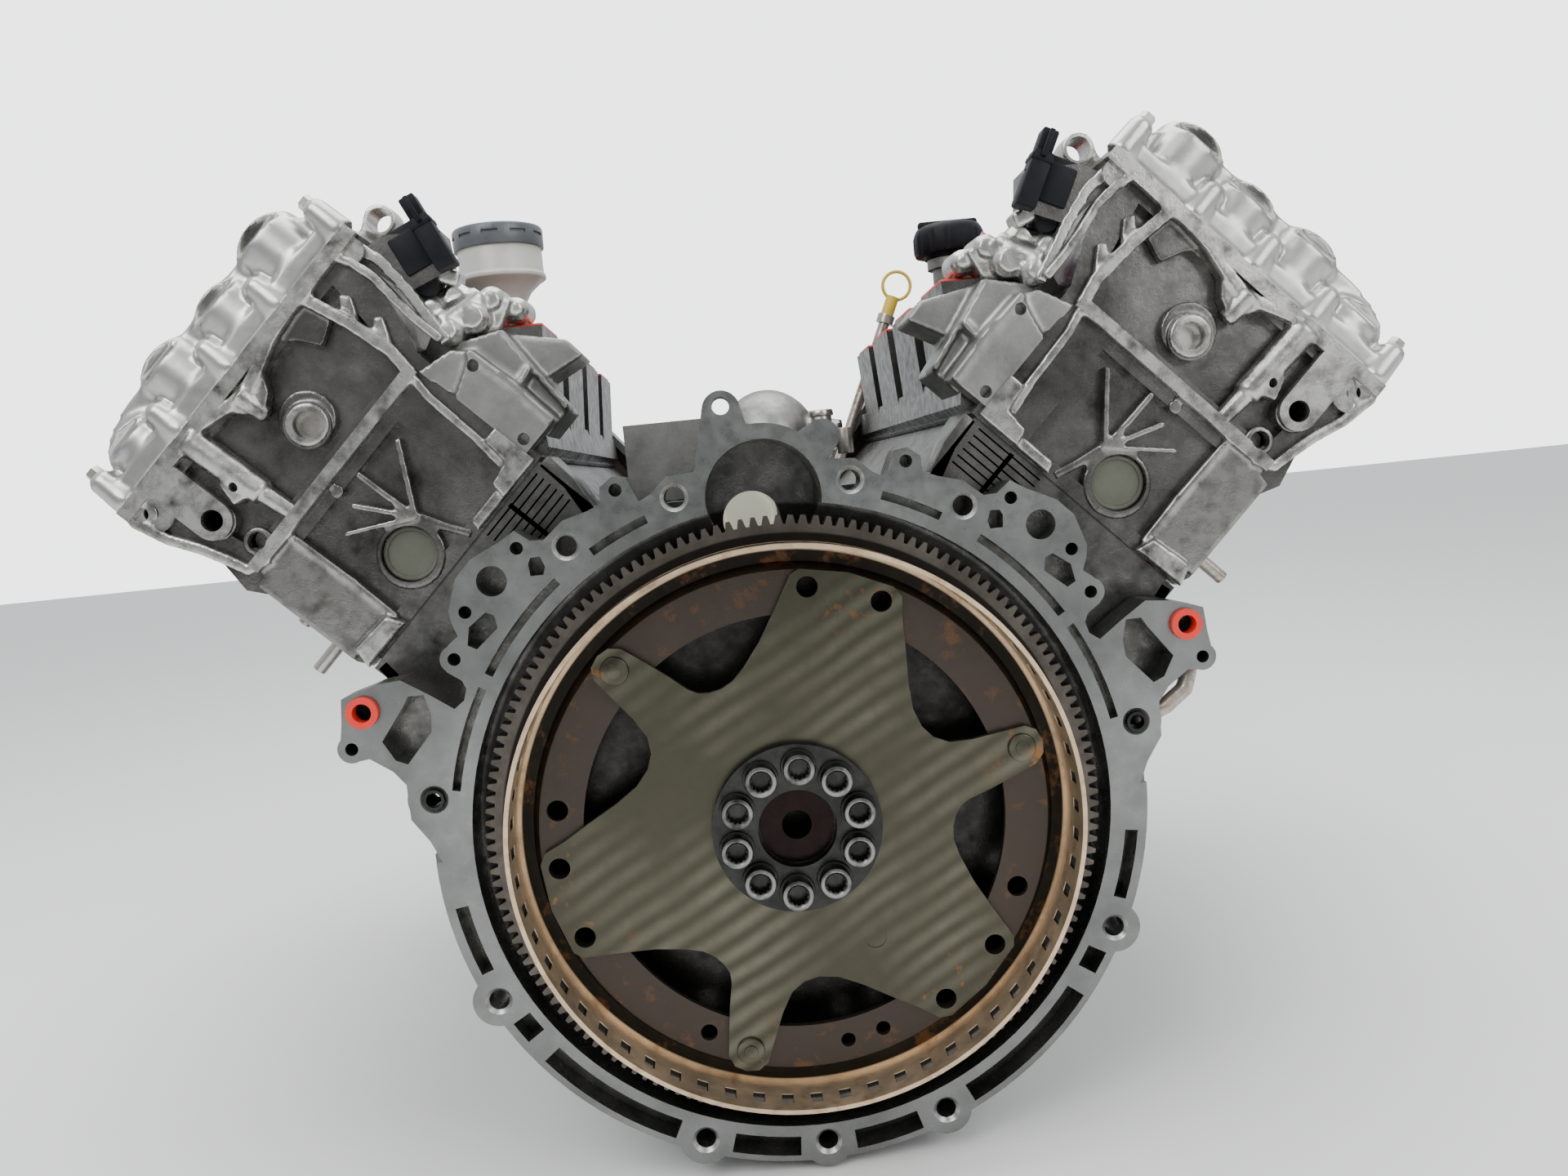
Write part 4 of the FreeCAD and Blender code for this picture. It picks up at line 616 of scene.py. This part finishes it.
def cover_shape():
    pieces = [outline(COVER_FLANGE, 1.0, 560.0), outline(COVER_CROWN, CROWN_START, 556.0)]
    for v, radius, top in FLUTES:
        middle = radius + 1.5
        pieces.append(rod((v, middle, 398), (v, middle, top - 4), radius, radius - 0.5, sides=64))
        pieces.append(rod((v, middle, top - 4), (v, middle + 1, top), radius - 0.5, radius - 5.0, sides=64))
        pieces.append(rod((v, middle, top - radius + 1), (v, 540, top - radius + 1), radius - 2.0, sides=64))
    for v in (COVER_BOSSES[0], COVER_BOSSES[-1]):
        for index in range(6):
            y = 6.0 + index * SIDE_BOSS_STEP
            pieces.append(rod((v, y, 391), (v, y, 412.5), 6.6, 6.2))
    for v in COVER_BOSSES:
        pieces.append(rod((v, 5, 390), (v, 6.5, 411), 8.2, 7.2))
        pieces.append(rod((v, 6.5, 410), (v, 6.5, 414.5), 5.2, 4.6))
    return pieces


def cover_wells(first):
    rows = [first + index * SPACING for index in range(CYLINDERS)]
    return [rod((0, y, 400), (0, y, 431.6), 24.0, 20.5) for y in rows]


def cam_cover(side):
    first = PORT_FIRST[side]
    shell = unite(cover_shape(), "cam_cover_shell_" + side)
    shell.location = (0, (REAR_FACE[side] - COVER_OVERLAP) * MM, 0)
    settle(shell)
    shell = unite([shell] + cover_wells(first), "cam_cover_shell_" + side)
    cast(shell, 1.8, 2)
    rows = [first + index * SPACING for index in range(CYLINDERS)]
    cutters = [rod((0, y, 404), (0, y, 440), WELL_RADIUS) for y in rows]
    cutters.append(block(-120, 120, FRONT_END - 0.5, 700, 380, 440))
    carve(shell, cutters)
    to_bank(shell, side)
    finish(shell, "cover_aluminium", angle=60.0, replaces=("cam_cover_" + side,))


for side in SIDES:
    cam_cover(side)


# ---------------------------------------------------------------- rear walls of the heads

JOINT_RAIL = [(-84, 316), (-60, 315), (-38, 316), (-20, 315.5), (0, 317), (20, 316.5), (40, 316), (55, 315)]
WEB_RAIL = [(50, 388), (53, 372), (56, 356), (57, 342), (58, 331), (55, 315)]
PORT_RAIL = [(77, 389), (82, 377), (83.5, 362), (81, 344), (80, 330), (80, 314)]
TOP_RAIL = [(-101, 387), (-88, 387.5), (-71, 386), (-55, 386), (-41, 386.5), (-25, 381), (-10, 377), (8, 381),
            (22, 385), (40, 386.5), (56, 386), (74, 387), (92, 387)]
FAN_ROOT = (-6, 266)
FAN_RIBS = (((22, 300), 3.2), ((-7, 305), 3.6), ((-23, 297), 3.2), ((-7, 280), 3.0), ((-38, 290), 2.6))
CORNER_RAIL = [(-104, 382), (-100, 362), (-93, 345), (-89, 331), (-86, 318), (-74, 314)]


def head_rear():
    pieces = [ridge(JOINT_RAIL, 6.0, -5, 6), ridge(WEB_RAIL, 7.0, -5, 6), ridge(PORT_RAIL, 5.0, -5, 6)]
    pieces.append(ridge(TOP_RAIL, 7.0, -6, 6))
    pieces.append(ridge(CORNER_RAIL, 6.0, -5, 8))
    pieces.append(disc(12.0, -4, 8, -2.5, 342))
    pieces.append(disc(16.0, 1, 8, -1.0, 345))
    pieces.append(rod((-50, 0, 386), (-48, 0, 338), 9.0, 8.0))
    pieces.append(rod((-48, 0, 340), (-46, 0, 317), 6.0, 5.0))
    pieces.append(outline([(-62, 345), (-58, 358), (-44, 362), (-42, 340), (-52, 342)], -6, 4))
    pieces.append(disc(11.0, -3, 8, -76, 348))
    pieces.append(disc(8.5, -2, 8, -71, 324))
    pieces.append(disc(9.0, -4, 8, -98, 381))
    pieces.append(outline([(-12, 384), (-24, 378), (-14, 362), (-2, 368), (8, 380)], -4, 6))
    pieces.append(rod((-13, -3, 380), (-13, 1, 362), 6.5, 5.0))
    # the web from the valley side, with its fingers
    pieces.append(outline([(56, 340), (66, 350), (70, 346), (62, 334)], -4, 5))
    pieces.append(outline([(55, 362), (64, 372), (68, 366), (58, 352)], -3, 5))
    pieces.append(outline([(20, 384), (50, 386), (52, 368), (36, 362), (30, 374)], 0, 6))
    # lower wall
    pieces.append(outline([(-91, 243), (-60, 243), (-58, 308), (-66, 313), (-91, 310)], -2, 6))
    pieces.append(outline([(-88, 233.4), (-55, 233.4), (-59, 244), (-84, 246)], -8, 6))
    pieces.append(ridge([(-57, 240), (-56, 270), (-57, 310)], 4.0, -3, 6))
    pieces.append(ridge([(47, 244), (50, 268), (51, 300), (54, 314)], 5.0, -4, 6))
    pieces.append(outline([(34, 234), (61, 234), (61, 262), (52, 262), (50, 246), (36, 244)], -7, 6))
    pieces.append(outline([(10, 234), (36, 234), (36, 241), (12, 241)], -4, 6))
    for tip, width in FAN_RIBS:
        pieces.append(ridge([FAN_ROOT, tip], width, -2.5, 6))
    pieces.append(ridge([(-6, 268), (0, 250), (6, 236)], 5.0, -1, 6))
    pieces.append(disc(19.5, -1, 8, -24.5, 255))
    pieces.append(disc(4.0, -1.5, 6, -22, 308))
    return pieces


def head_rear_holes():
    return [disc(7.6, -12, 5, -2.5, 342), disc(7.8, -12, 20, -76, 348), disc(5.6, -12, 6, -71, 324),
            disc(4.2, -12, 4, -98, 381), disc(15.9, -12, 7.5, -24.5, 256), disc(2.6, -12, 2, -54, 351)]


relief = unite(head_rear(), "head_rear_pattern")
cast(relief, 1.15, 3)
carve(relief, head_rear_holes())
for side in SIDES:
    wall = copy_of(relief, "head_rear_casting_" + side)
    to_bank(wall, side, REAR_FACE[side])
    finish(wall, "cast_aluminium", angle=60.0, material=HEAD_FINISH[side])
bpy.data.objects.remove(relief, do_unlink=True)


# ---------------------------------------------------------------- crank end

BOLT_CIRCLE = 33.9
BOLT_START = math.radians(5.9)
BOLT_COUNT = 10
BOLT_STEP = 2 * math.pi / BOLT_COUNT
RIVET_CIRCLE = 128.0
RIVET_ANGLES = (-43.0, 77.0, 197.0)
TUNNEL_AT = (-7.4, 166.0)
WATER_PLUG_AT = (-24.5, 256.0)


def star(points, outer, inner, x, z):
    spots = []
    for index in range(2 * points):
        angle = math.pi * index / points
        radius = outer if index % 2 == 0 else inner
        spots.append((x + radius * math.sin(angle), z + radius * math.cos(angle)))
    return spots


def crank_bolt(x, z):
    head = soften(disc(8.4, -20.5, -11.6, x, z, 36), 1.1)
    flange = soften(disc(9.6, -13.2, -11.5, x, z, 36), 0.5)
    carve(head, [outline(star(12, 5.6, 4.7, x, z), -25, -14.0), rod((x, -20.6, z), (x, -19.4, z), 6.4, 5.2)])
    stem = disc(5.0, -12.0, 20.0, x, z, 16)
    return unite([head, flange, stem], "crank_bolt")


first_bolt = crank_bolt(BOLT_CIRCLE * math.sin(BOLT_START), BOLT_CIRCLE * math.cos(BOLT_START))
bolts = [first_bolt]
for index in range(1, BOLT_COUNT):
    bolt = copy_of(first_bolt, "crank_bolt_%d" % (index + 1))
    bolt.rotation_euler = (0, BOLT_STEP * index, 0)
    bolts.append(settle(bolt))
finish(unite(bolts, "crank_bolts"), "bolt_steel", "crank", replaces=("flexplate_bolts",),
       material=SOCKET_BOLT)

rivets = []
for angle in RIVET_ANGLES:
    x, z = RIVET_CIRCLE * math.sin(math.radians(angle)), RIVET_CIRCLE * math.cos(math.radians(angle))
    rivets.append(soften(disc(7.6, -7.6, -5.4, x, z), 1.0))
    rivets.append(soften(disc(3.9, -8.2, 3.4, x, z), 0.4))
finish(unite(rivets, "plate_rivets"), "flexplate_steel", "crank", replaces=("flexplate_rivets",))

# the tunnel plug glows with painted light
plug = soften(disc(16.4, 56.0, 60.0, *TUNNEL_AT), 1.2)
carve(plug, [rod((TUNNEL_AT[0], 50, TUNNEL_AT[1]), (TUNNEL_AT[0], 57.2, TUNNEL_AT[1]), 15.2, 14.0)])
plug.name = plug.data.name = "tunnel_plug"
finish(plug, "pale_disc")


def water_plug(side):
    v, u = WATER_PLUG_AT
    cup = soften(disc(15.4, 2.0, 7.0, v, u, 56), 1.0)
    carve(cup, [rod((v, -1, u), (v, 3.4, u), 14.4, 12.6, sides=56)])
    cup.name = cup.data.name = "water_plug_face_" + side
    to_bank(cup, side, REAR_FACE[side])
    return finish(cup, "dull_plug")


for side in SIDES:
    water_plug(side)


# ---------------------------------------------------------------- sensors, cups and seals

def sensor(side):
    body = soften(block(-11, 10, 2, 22, -16, 17), 2.2)
    step = soften(block(-8, 9, -2, 4, -10, 12), 1.5)
    socket = soften(block(8, 19.5, -7, 7, -17, 14), 1.4)
    mouth = soften(block(9.5, 18.5, -6, 6, 12, 26), 1.0)
    collar = soften(block(7.5, 20, -7.6, 7.6, 8, 11), 0.6)
    clip = soften(block(12.5, 15.5, -10, -6, 10, 25), 0.7)
    foot = soften(disc(6.5, 4, 20, -2, -17), 1.0)
    piece = unite([body, step, socket, mouth, collar, clip, foot], "cam_sensor_body_" + side)
    piece.rotation_euler = (0, math.radians(20.0), 0)
    piece.location = (106.0 * MM, 2.0 * MM, 356.0 * MM)
    settle(piece)
    to_bank(piece, side, REAR_FACE[side])
    return finish(piece, "black_plastic")


def sensor_bracket(side):
    pieces = [ridge([(90, 382), (92.5, 366), (89.5, 346), (84, 326), (81, 312)], 6.5, 0, 20)]
    pieces.append(ridge([(92, 366), (100, 352), (108, 338), (112, 330)], 9.0, 8, 26))
    pieces.append(disc(9.2, 22, 42, 109, 387.5))
    pieces.append(outline([(90, 378), (92, 392), (104, 395), (108, 381), (100, 376)], 24, 40))
    piece = unite(pieces, "sensor_bracket_" + side)
    cast(piece, 1.3, 3)
    carve(piece, [disc(6.6, 10, 50, 109, 387.5)])
    to_bank(piece, side, REAR_FACE[side])
    return finish(piece, "bright_casting", angle=60.0)


# ---------------------------------------------------------------- port castings on the valley side

def port_casting(side):
    pieces = [outline([(57, 314), (78, 308), (85.5, 299), (61, 287)], -1.5, 10)]
    pieces.append(outline([(60, 289), (84.5, 298), (84, 239), (60, 240)], -4.5, 10))
    pieces.append(ridge([(84, 299), (85.5, 270), (84, 240)], 4.0, -6, 24))
    pieces.append(outline([(70, 312), (84, 310), (104, 297), (99, 271), (78, 266)], 12, 70))
    pieces.append(outline([(78, 268), (99, 271), (94, 240), (70, 240)], 20, 70))
    pieces.append(outline([(104, 297), (124, 267), (123, 254), (98, 262), (99, 271)], 26, 70))
    pieces.append(ridge([(104, 297), (99, 271), (94, 241)], 3.5, 15, 40))
    pieces.append(ridge([(78, 268), (99, 270.5)], 3.0, 10, 30))
    piece = unite(pieces, "port_casting_" + side)
    cast(piece, 1.5, 3)
    carve(piece, [disc(3.4, -8, 4, 66, 246), disc(3.4, -8, 4, 80, 292)])
    to_bank(piece, side, REAR_FACE[side])
    return finish(piece, "port_cast", angle=60.0)


LUMPS = ((89, 331, 9.5, 10, 46), (103, 327, 9.0, 15, 42), (114, 312, 9.0, 20, 48), (100, 312, 10.0, 12, 46),
         (86, 316, 8.5, 6, 34), (95, 341, 7.0, 14, 36), (119, 300, 8.0, 28, 52))


def injector_bosses(side):
    pieces = []
    for v, u, radius, y0, y1 in LUMPS:
        pieces.append(rod((v, y0, u), (v, y1, u), radius - 1.0, radius))
        pieces.append(rod((v, y0 - 4, u), (v, y0 + 2, u), radius - 3.5, radius - 3.0))
    pieces.append(outline([(80, 312), (88, 336), (104, 332), (122, 304), (104, 298)], 20, 50))
    pieces.append(rod((86, 8, 322), (112, 18, 318), 6.0))
    piece = unite(pieces, "injector_bosses_" + side)
    cast(piece, 1.4, 5)
    to_bank(piece, side, REAR_FACE[side])
    return finish(piece, "bright_casting", angle=60.0)


for side in SIDES:
    port_casting(side)
    injector_bosses(side)


sensor("left")
last = sensor("right")
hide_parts("cam_sensors")
for side in SIDES:
    sensor_bracket(side)


SEAL_X = 142.0


def port_seal(side):
    seals = []
    x = -SEAL_X if side == "left" else SEAL_X
    for index in range(CYLINDERS):
        y = PORT_FIRST[side] + index * SPACING
        ring = soften(block(x - 27, x + 27, y - 31, y + 31, 283.6, 288.6), 1.0)
        carve(ring, [block(x - 20.5, x + 20.5, y - 24.5, y + 24.5, 270, 300)])
        seals.append(ring)
    return seals


finish(unite(port_seal("left") + port_seal("right"), "port_seal_lips"), "red_rubber",
       replaces=("intake_port_seals",))


def turned(profile, x, y, name):
    clear()
    bpy.ops.mesh.primitive_circle_add(vertices=len(profile), radius=1, fill_type="NOTHING")
    obj = bpy.context.object
    for vertex, (radius, z) in zip(obj.data.vertices, profile):
        vertex.co = ((x + radius) * MM, y * MM, z * MM)
    bpy.ops.object.mode_set(mode="EDIT")
    bpy.ops.mesh.select_all(action="SELECT")
    bpy.ops.mesh.spin(steps=64, angle=2 * math.pi, center=(x * MM, y * MM, 0), axis=(0, 0, 1))
    bpy.ops.mesh.select_all(action="SELECT")
    bpy.ops.mesh.remove_doubles(threshold=0.00001)
    bpy.ops.mesh.normals_make_consistent(inside=False)
    bpy.ops.object.mode_set(mode="OBJECT")
    obj.name = obj.data.name = name
    return obj


BREATHER = (-167.0, 275.0)
CUP_PROFILE = [(10, 265), (13.5, 265), (13.5, 318), (14, 330), (20, 340), (27.5, 346.5), (31.8, 349),
               (32, 351.5), (30.6, 353), (30.6, 372), (27.5, 372), (27.5, 352), (20, 346), (10, 336)]
RING_PROFILE = [(28, 371), (32.6, 371), (32.9, 384), (32, 386), (29.5, 386), (28, 384)]
RING_SLOTS = 10
cup = turned(CUP_PROFILE, *BREATHER, "breather_cup")
soften(cup, 0.6)
finish(cup, "cup_cream", replaces=("breather_neck",))
cup_ring = turned(RING_PROFILE, *BREATHER, "breather_ring")
soften(cup_ring, 0.5)
middle = Matrix.Translation(Vector((*BREATHER, 0)) * MM)
slots = []
for index in range(RING_SLOTS):
    slot = block(BREATHER[0] - 6, BREATHER[0] + 6, BREATHER[1] - 36, BREATHER[1] - 31.2, 378.5, 380.8)
    turn = Matrix.Rotation(2 * math.pi * index / RING_SLOTS, 4, "Z")
    slot.matrix_world = middle @ turn @ middle.inverted()
    slots.append(settle(slot))
carve(cup_ring, slots)
finish(cup_ring, "smoked_plastic")

FILLER = (164.0, 255.0)
CAP_PROFILE = [(0.01, 356), (20, 356), (23, 354.5), (24.5, 352), (26, 348), (26, 338), (25, 335.2),
               (19, 335), (18.5, 332.4), (0.01, 332.4)]
CAP_NOTCHES = 14
cap = turned(CAP_PROFILE, *FILLER, "filler_cap_body")
soften(cap, 0.5)
notches = []
for index in range(CAP_NOTCHES):
    angle = 2 * math.pi * index / CAP_NOTCHES
    x, y = FILLER[0] + 28.6 * math.cos(angle), FILLER[1] + 28.6 * math.sin(angle)
    notches.append(rod((x, y, 330), (x, y, 360), 3.6, sides=16))
carve(cap, notches)
grip = soften(block(FILLER[0] - 22, FILLER[0] + 22, FILLER[1] - 3.5, FILLER[1] + 3.5, 354, 360), 2.0)
finish(unite([cap, grip], "filler_cap_body"), "black_plastic", "filler_cap", replaces=("oil_filler_cap",))

tag = soften(block(-11, 11, -0.8, 0.8, -3.4, 3.4), 0.5)
tag.rotation_euler = (0, math.radians(-52.0), math.radians(12.0))
tag.location = (179.0 * MM, 226.5 * MM, 334.0 * MM)
settle(tag)
tag.name = tag.data.name = "filler_tag"
finish(tag, "pink_tag")


# ---------------------------------------------------------------- water outlet in the valley

outlet = [ball(22.0, 0, 0, 0)]
outlet[0].scale = (1.55, 1.55, 1.75)
outlet[0].location = (12.0 * MM, 150.0 * MM, 204.0 * MM)
settle(outlet[0])
outlet.append(rod((12, 150, 199), (12, 150, 207), 40.0, 39.0))
outlet.append(rod((30, 140, 214), (58, 132, 209), 10.0, 9.0))
for x, y in ((-24, 126), (44, 122), (48, 178), (-24, 176)):
    outlet.append(rod((x, y, 199), (x, y, 211), 7.5, 7.0))
outlet = unite(outlet, "water_outlet")
cast(outlet, 1.6, 3)
finish(outlet, "dull_aluminium", angle=60.0)

pipe = unite([rod((44, 108, 196), (44, 108, 222), 6.5), rod((44, 108, 220), (44, 108, 224), 8.0, 7.4),
              rod((58, 112, 196), (58, 112, 212), 5.0)], "valley_pipe")
soften(pipe, 0.8)
finish(pipe, "plated_steel")


def bent_tube(points, radius, grain, name, slot):
    pieces = []
    for start, end in zip(points, points[1:]):
        pieces.append(rod(start, end, radius, sides=24))
        pieces.append(ball(radius, *end))
    piece = unite(pieces, name)
    cast(piece, grain, 3)
    return finish(piece, slot, angle=60.0)


bent_tube([(226, 10, 62), (221, 8, 48), (209, 6, 40), (196, 8, 34)], 4.6, 0.9, "drain_hook", "plated_steel")


# ---------------------------------------------------------------- front of the timing case

CASE_EDGES = ([(-92, 386), (-92, 332), (-67, 122)], [(84, 386), (84, 332), (61, 150)])
CASE_BOLTS = ((-90, 366), (-87, 300), (-80, 240), (-73, 180), (83, 366), (79, 300), (73, 240), (66, 185),
              (-45, 386), (0, 386), (42, 386))
CASE_RIBS = ([(-40, 372), (-22, 150)], [(34, 372), (16, 165)], [(-84, 280), (76, 280)])


def case_bolt(v, u):
    head = rod((v, FRONT_END + 4.0, u), (v, FRONT_END + 10.0, u), 6.6, sides=6)
    soften(head, 0.7)
    collar = rod((v, FRONT_END + 3.0, u), (v, FRONT_END + 4.6, u), 8.4, 7.8)
    return [head, collar]


def front_case(side):
    rails = [ridge(points, 9.0, FRONT_END - 2, FRONT_END + 3.4) for points in CASE_EDGES]
    rails += [ridge(points, 8.0, FRONT_END - 2, FRONT_END + 3.0) for points in CASE_RIBS]
    rails += [rod((v, FRONT_END - 1, u), (v, FRONT_END + 3.2, u), 10.5, 9.5) for v, u in CASE_BOLTS]
    case = unite(rails, "timing_case_rails_" + side)
    cast(case, 1.2, 2)
    to_bank(case, side)
    finish(case, "dull_aluminium", angle=60.0)
    heads = []
    for v, u in CASE_BOLTS:
        heads += case_bolt(v, u)
    heads = unite(heads, "timing_case_bolts_" + side)
    to_bank(heads, side)
    finish(heads, "plated_steel")


for side in SIDES:
    front_case(side)


# ---------------------------------------------------------------- block behind the flange

def block_web(side):
    pieces = [ridge([(63, 231), (62, 212), (55, 187)], 8.0, 0, 40)]
    for index in range(6):
        u = 205.0 + index * 4.6
        pieces.append(block(10, 56, 0, 20, u, u + 2.2))
    pieces.append(block(30, 34, 0, 22, 200, 231))
    pieces.append(ridge([(-84, 230), (-86, 214), (-84, 190), (-74, 160)], 7.0, 0, 40))
    pieces.append(ridge([(-60, 231), (-50, 205), (-30, 190)], 4.0, 4, 24))
    piece = unite(pieces, "block_webs_" + side)
    apply_new(piece, "BEVEL", width=0.6 * MM, segments=2, limit_method="ANGLE")
    to_bank(piece, side, max(REAR_FACE[side], 24.0))
    return finish(piece, "cast_aluminium")


for side in SIDES:
    block_web(side)


# ---------------------------------------------------------------- camera, light and floor

FLOOR_Z = -0.2005
BACKDROP_STRENGTH = 3.4
ROOM_STRENGTH = 1.55
PANELS = (("key_panel", (-0.9, -1.3, 1.6), (0, 0.1, 0.1), 1.2, 26),
          ("fill_panel", (1.3, -1.2, 1.0), (0, 0.1, 0.1), 1.2, 16),
          ("top_panel", (0.0, 0.4, 1.8), (0, 0.2, 0.1), 1.6, 30))
LENS_MM = 26.25
SENSOR_MM = 36.0
CAMERA_AT = (-0.0205, -0.6025, 0.1881)
YAW, PITCH, ROLL = math.radians(2.521), math.radians(-5.752), math.radians(5.748)


def add_camera():
    bpy.ops.object.camera_add(location=CAMERA_AT)
    camera = bpy.context.object
    camera.name = "view_camera"
    ahead = Vector((math.sin(YAW) * math.cos(PITCH), math.cos(YAW) * math.cos(PITCH), math.sin(PITCH)))
    right = ahead.cross(Vector((0, 0, 1))).normalized()
    up = right.cross(ahead)
    tilted_up = up * math.cos(ROLL) + right * math.sin(ROLL)
    tilted_right = right * math.cos(ROLL) - up * math.sin(ROLL)
    camera.rotation_euler = Matrix((tilted_right, tilted_up, -ahead)).transposed().to_euler()
    camera.data.lens = LENS_MM
    camera.data.sensor_width = SENSOR_MM
    camera.data.clip_start = 0.01
    bpy.context.scene.camera = camera


def add_light(name, place, target, size, power):
    bpy.ops.object.light_add(type="AREA", location=place)
    light = bpy.context.object
    light.name = name
    light.rotation_euler = (Vector(target) - Vector(place)).to_track_quat("-Z", "Y").to_euler()
    light.data.size = size
    light.data.energy = power


def add_room():
    bpy.ops.mesh.primitive_plane_add(size=14.0, location=(0, 1.0, FLOOR_Z))
    floor = settle(bpy.context.object)
    floor.name = "floor"
    paint = bpy.data.materials.new("pale_floor")
    paint.use_nodes = True
    shader = paint.node_tree.nodes["Principled BSDF"]
    shader.inputs["Base Color"].default_value = (0.86, 0.86, 0.85, 1)
    shader.inputs["Roughness"].default_value = 0.7
    floor.data.materials.append(paint)
    world = bpy.data.worlds.new("pale_studio")
    bpy.context.scene.world = world
    world.use_nodes = True
    tree = world.node_tree
    backdrop = tree.nodes["Background"]
    backdrop.inputs["Color"].default_value = (0.96, 0.97, 0.98, 1)
    backdrop.inputs["Strength"].default_value = BACKDROP_STRENGTH
    room = add(tree, "ShaderNodeBackground")
    where = add(tree, "ShaderNodeSeparateXYZ")
    tree.links.new(add(tree, "ShaderNodeTexCoord").outputs["Generated"], where.inputs[0])
    upward = ramp(tree, where.outputs["Z"], -0.25, 0.85, 0.30, 1.0)
    behind = ramp(tree, where.outputs["Y"], -0.9, 0.5, 0.42, 1.0)
    level = sum_up(tree, "MULTIPLY", upward, behind)
    room.inputs["Color"].default_value = (0.95, 0.97, 1.0, 1)
    strength = add(tree, "ShaderNodeMath", operation="MULTIPLY")
    tree.links.new(level, strength.inputs[0])
    strength.inputs[1].default_value = ROOM_STRENGTH
    tree.links.new(strength.outputs[0], room.inputs["Strength"])
    seen = add(tree, "ShaderNodeMixShader")
    tree.links.new(add(tree, "ShaderNodeLightPath").outputs["Is Camera Ray"], seen.inputs["Fac"])
    tree.links.new(room.outputs[0], seen.inputs[1])
    tree.links.new(backdrop.outputs[0], seen.inputs[2])
    tree.links.new(seen.outputs[0], tree.nodes["World Output"].inputs["Surface"])
    for panel in PANELS:
        add_light(*panel)


clear()
add_camera()
add_room()
